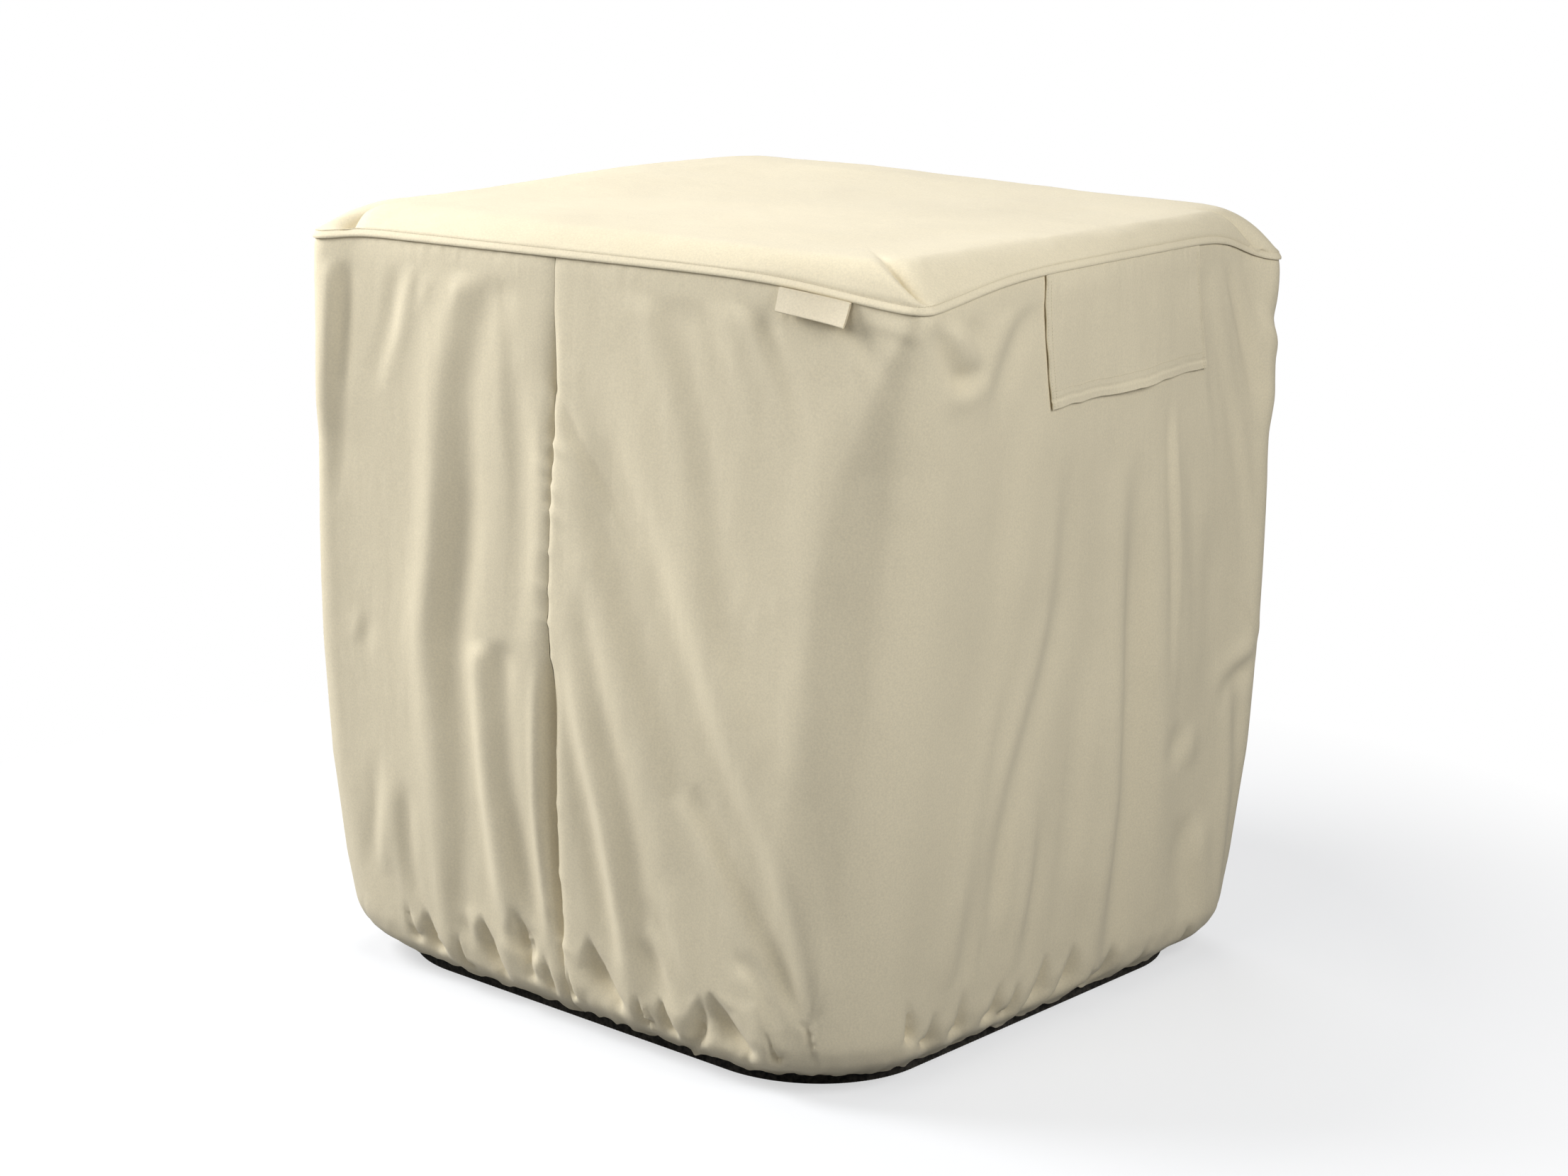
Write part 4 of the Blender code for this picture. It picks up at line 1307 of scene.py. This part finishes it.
def stitch_tree(name, material):
    """Geometry Nodes that lay stitches end to end along a line."""
    tree = bpy.data.node_groups.new(name, "GeometryNodeTree")
    tree.is_modifier = True
    tree.interface.new_socket("Geometry", in_out="INPUT", socket_type="NodeSocketGeometry")
    for label, default in (("Stitch Length", STITCH_LENGTH), ("Stitch Gap", STITCH_GAP),
                           ("Thread", THREAD_WIDTH), ("Sway", STITCH_SWAY)):
        socket = tree.interface.new_socket(label, in_out="INPUT",
                                           socket_type="NodeSocketFloat")
        socket.default_value = default
    tree.interface.new_socket("Geometry", in_out="OUTPUT", socket_type="NodeSocketGeometry")
    nodes, links = tree.nodes, tree.links
    start, end = nodes.new("NodeGroupInput"), nodes.new("NodeGroupOutput")
    curve = nodes.new("GeometryNodeMeshToCurve")
    links.new(start.outputs["Geometry"], curve.inputs["Mesh"])
    pitch = nodes.new("ShaderNodeMath")
    pitch.operation = "ADD"
    links.new(start.outputs["Stitch Length"], pitch.inputs[0])
    links.new(start.outputs["Stitch Gap"], pitch.inputs[1])
    points = nodes.new("GeometryNodeCurveToPoints")
    points.mode = "LENGTH"
    links.new(curve.outputs["Curve"], points.inputs["Curve"])
    links.new(pitch.outputs["Value"], points.inputs["Length"])
    stitch = nodes.new("GeometryNodeMeshUVSphere")
    stitch.inputs["Segments"].default_value = 6
    stitch.inputs["Rings"].default_value = 4
    stitch.inputs["Radius"].default_value = 0.5
    size = nodes.new("ShaderNodeCombineXYZ")
    links.new(start.outputs["Thread"], size.inputs["X"])
    links.new(start.outputs["Thread"], size.inputs["Y"])
    links.new(start.outputs["Stitch Length"], size.inputs["Z"])
    shape = nodes.new("GeometryNodeTransform")
    links.new(stitch.outputs["Mesh"], shape.inputs["Geometry"])
    links.new(size.outputs["Vector"], shape.inputs["Scale"])
    sway = nodes.new("FunctionNodeRandomValue")
    sway.data_type = "FLOAT_VECTOR"
    sway.inputs["Seed"].default_value = SEED
    low, high = nodes.new("ShaderNodeVectorMath"), nodes.new("ShaderNodeVectorMath")
    for node, sign in ((low, -1.0), (high, 1.0)):
        node.operation = "SCALE"
        node.inputs[0].default_value = (sign, sign, 0.0)
        links.new(start.outputs["Sway"], node.inputs["Scale"])
    links.new(low.outputs["Vector"], sway.inputs[0])
    links.new(high.outputs["Vector"], sway.inputs[1])
    lay = nodes.new("GeometryNodeInstanceOnPoints")
    links.new(points.outputs["Points"], lay.inputs["Points"])
    links.new(shape.outputs["Geometry"], lay.inputs["Instance"])
    links.new(points.outputs["Rotation"], lay.inputs["Rotation"])
    tilt = nodes.new("GeometryNodeRotateInstances")
    links.new(lay.outputs["Instances"], tilt.inputs["Instances"])
    links.new(sway.outputs["Value"], tilt.inputs["Rotation"])
    real = nodes.new("GeometryNodeRealizeInstances")
    links.new(tilt.outputs["Instances"], real.inputs["Geometry"])
    paint = nodes.new("GeometryNodeSetMaterial")
    paint.inputs["Material"].default_value = material
    links.new(real.outputs["Geometry"], paint.inputs["Geometry"])
    links.new(paint.outputs["Geometry"], end.inputs["Geometry"])
    return tree


def lay_stitches(name, lines, sizes, material):
    """Stitches along some lines, as a plain mesh."""
    mesh = bpy.data.meshes.new(name + "_lines")
    points, edges = [], []
    for line, closed in lines:
        first = len(points)
        points += [tuple(point) for point in line]
        edges += [(first + n, first + n + 1) for n in range(len(line) - 1)]
        if closed:
            edges.append((len(points) - 1, first))
    mesh.from_pydata(points, edges, [])
    guide = bpy.data.objects.new(name + "_guide", mesh)
    bpy.context.scene.collection.objects.link(guide)
    tree = stitch_tree(name, material)
    modifier = guide.modifiers.new("stitches", "NODES")
    modifier.node_group = tree
    values = {"Stitch Length": sizes.stitch_length, "Stitch Gap": sizes.stitch_gap,
              "Thread": sizes.thread, "Sway": STITCH_SWAY}
    for item in tree.interface.items_tree:
        if item.in_out == "INPUT" and item.name in values:
            modifier[item.identifier] = values[item.name]
    shown = guide.evaluated_get(bpy.context.evaluated_depsgraph_get())
    made = bpy.data.meshes.new_from_object(shown)
    made.name = name
    guide.modifiers.remove(modifier)
    bpy.data.objects.remove(guide)
    made.shade_smooth()
    piece = bpy.data.objects.new(name, made)
    bpy.context.scene.collection.objects.link(piece)
    return piece


class COVER_OT_top(bpy.types.Operator):
    """Make the top with its shoulder and welt."""

    bl_idname = "cover.make_top"
    bl_label = "Top"

    def execute(self, context):
        sizes = context.scene.cover_sizes
        piece = make_top(sizes)
        piece.data.materials.append(cover_cloth(context.scene))
        finish_piece(piece, "top_panel")
        return {"FINISHED"}


class COVER_OT_skirt(bpy.types.Operator):
    """Make the two panels of the skirt with their folds."""

    bl_idname = "cover.make_skirt"
    bl_label = "Skirt"

    def execute(self, context):
        sizes = context.scene.cover_sizes
        right = make_skirt("cover_skirt_right", RIGHT_PANEL, sizes)
        left = make_skirt("cover_skirt_left", LEFT_PANEL, sizes)
        for piece, node, width in ((right, "skirt_right", 1.86), (left, "skirt_left", 1.68)):
            piece.data.materials.append(cover_cloth(context.scene))
            finish_piece(piece, node)
        return {"FINISHED"}


class COVER_OT_flap(bpy.types.Operator):
    """Make the flap over the vent."""

    bl_idname = "cover.make_flap"
    bl_label = "Vent flap"

    def execute(self, context):
        sizes = context.scene.cover_sizes
        piece = make_flap(sizes)
        piece.data.materials.append(cover_cloth(context.scene))
        finish_piece(piece, "vent_flap")
        return {"FINISHED"}


class COVER_OT_label(bpy.types.Operator):
    """Make the bare folded label."""

    bl_idname = "cover.make_label"
    bl_label = "Label"

    def execute(self, context):
        scene = context.scene
        piece = make_label(scene.cover_sizes)
        colour = tuple(scene.cover_colours.label)
        piece.data.materials.append(cloth_material(
            "label_weave", colour, colour, scene.cover_sizes.weave * 0.6, 0.55, 0.05))
        finish_piece(piece, "label")
        return {"FINISHED"}


class COVER_OT_band(bpy.types.Operator):
    """Make the elastic band at the hem."""

    bl_idname = "cover.make_band"
    bl_label = "Hem band"

    def execute(self, context):
        scene = context.scene
        piece = make_band(scene.cover_sizes)
        # Painted shade: the band's near-black colour stands in for the shadow under the gathered
        # hem
        piece.data.materials.append(plain_material(
            "band_ribs_painted_shade", tuple(scene.cover_colours.band), 0.85, speck=0.7, scale=160))
        finish_piece(piece, "hem_band")
        return {"FINISHED"}


class COVER_OT_stitches(bpy.types.Operator):
    """Lay the topstitching along the welt and the flap."""

    bl_idname = "cover.make_stitches"
    bl_label = "Stitches"

    def execute(self, context):
        scene = context.scene
        sizes = scene.cover_sizes
        thread = plain_material("thread", tuple(scene.cover_colours.thread), 0.6, speck=0.1)
        around = np.linspace(0, 4, WELT_STITCH_POINTS, endpoint=False)
        seam = seam_height(around)
        x, y = plan_point(around, at_height(HALVES, seam), corner_radius(around, seam),
                          at_height(TURNS, seam),
                          ear_push(around, seam) + sizes.cloth + GAP - WELT_TUCK
                          + STITCH_STAND)
        welt = np.stack((x, y, seam + WELT_HEIGHT + 0.0003), axis=-1)
        outer, _, _ = flap_grid(sizes)
        flap = outer + grid_normals(outer, False) * sizes.thread * 0.2
        rows = [(flap[3:, column], False) for column in FLAP_STITCH_COLUMNS]
        rows.append((flap[FLAP_STITCH_ROW], False))
        for name, lines in (("stitches_welt", [(welt, True)]), ("stitches_flap", rows)):
            piece = lay_stitches(name, lines, sizes, thread)
            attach(piece, "root")
        return {"FINISHED"}


class COVER_OT_stage(bpy.types.Operator):
    """Set the floor, the lights, the world and the camera."""

    bl_idname = "cover.make_stage"
    bl_label = "Stage"

    def execute(self, context):
        scene = context.scene
        bpy.ops.mesh.primitive_plane_add(size=FLOOR_SIZE, location=(0, 0, FLOOR_HEIGHT))
        floor = context.object
        floor.name = "floor"
        floor.data.materials.append(floor_material(tuple(scene.cover_colours.floor)))
        for lamp in LAMPS:
            data = bpy.data.lights.new(lamp.name, "AREA")
            data.shape = "DISK"
            data.size = lamp.size
            data.energy = lamp.power
            light = bpy.data.objects.new(lamp.name, data)
            scene.collection.objects.link(light)
            azimuth = math.radians(lamp.azimuth)
            place = Vector((lamp.distance * math.sin(azimuth),
                            -lamp.distance * math.cos(azimuth), lamp.height))
            light.location = place
            aim = Vector((0, 0, LAMP_AIM)) - place
            light.rotation_euler = aim.to_track_quat("-Z", "Y").to_euler()
        world = bpy.data.worlds.new("studio")
        world.use_nodes = True
        nodes, links = world.node_tree.nodes, world.node_tree.links
        dim = nodes["Background"]
        dim.inputs["Color"].default_value = (0.97, 0.98, 1.0, 1.0)
        dim.inputs["Strength"].default_value = WORLD_STRENGTH
        seen = nodes.new("ShaderNodeBackground")
        seen.inputs["Strength"].default_value = 1.0
        seen.inputs["Color"].default_value = (1.0, 1.0, 1.0, 1.0)
        path = nodes.new("ShaderNodeLightPath")
        mix = nodes.new("ShaderNodeMixShader")
        links.new(path.outputs["Is Camera Ray"], mix.inputs[0])
        links.new(dim.outputs["Background"], mix.inputs[1])
        links.new(seen.outputs["Background"], mix.inputs[2])
        links.new(mix.outputs["Shader"], nodes["World Output"].inputs["Surface"])
        scene.world = world
        scene.view_settings.view_transform = "Standard"
        scene.view_settings.look = "None"
        back, right, upward, place = camera_axes()
        camera = bpy.data.objects.new("camera", bpy.data.cameras.new("camera"))
        scene.collection.objects.link(camera)
        turned = Matrix((right, upward, back)).transposed().to_4x4()
        camera.matrix_world = Matrix.Translation(place) @ turned
        camera.data.lens = LENS
        camera.data.sensor_width = SENSOR
        camera.data.sensor_fit = "HORIZONTAL"
        camera.data.clip_end = 100
        camera.data.dof.use_dof = False
        scene.camera = camera
        return {"FINISHED"}


class COVER_PT_panel(bpy.types.Panel):
    """Panel in the sidebar that lists the pieces."""

    bl_idname = "COVER_PT_panel"
    bl_label = "Air conditioner cover"
    bl_space_type = "VIEW_3D"
    bl_region_type = "UI"
    bl_category = "Cover"

    def draw(self, context):
        layout = self.layout
        for group in (context.scene.cover_sizes, context.scene.cover_colours):
            box = layout.box()
            for name in group.__annotations__:
                box.prop(group, name)
        for operator in OPERATORS:
            layout.operator(operator.bl_idname)


OPERATORS = (COVER_OT_top, COVER_OT_skirt, COVER_OT_flap, COVER_OT_label, COVER_OT_band,
             COVER_OT_stitches, COVER_OT_stage)
CLASSES = (CoverSizes, CoverColours) + OPERATORS + (COVER_PT_panel,)


def register():
    """Add the operators, the panel and the scene's settings."""
    for cls in CLASSES:
        bpy.utils.register_class(cls)
    bpy.types.Scene.cover_sizes = bpy.props.PointerProperty(type=CoverSizes)
    bpy.types.Scene.cover_colours = bpy.props.PointerProperty(type=CoverColours)


def unregister():
    """Take away all that register added."""
    del bpy.types.Scene.cover_colours
    del bpy.types.Scene.cover_sizes
    for cls in reversed(CLASSES):
        bpy.utils.unregister_class(cls)


def main():
    """Make every piece and the stage."""
    register()
    bpy.ops.cover.make_top()
    bpy.ops.cover.make_skirt()
    bpy.ops.cover.make_flap()
    bpy.ops.cover.make_label()
    bpy.ops.cover.make_band()
    bpy.ops.cover.make_stitches()
    bpy.ops.cover.make_stage()


if __name__ == "__main__":
    main()
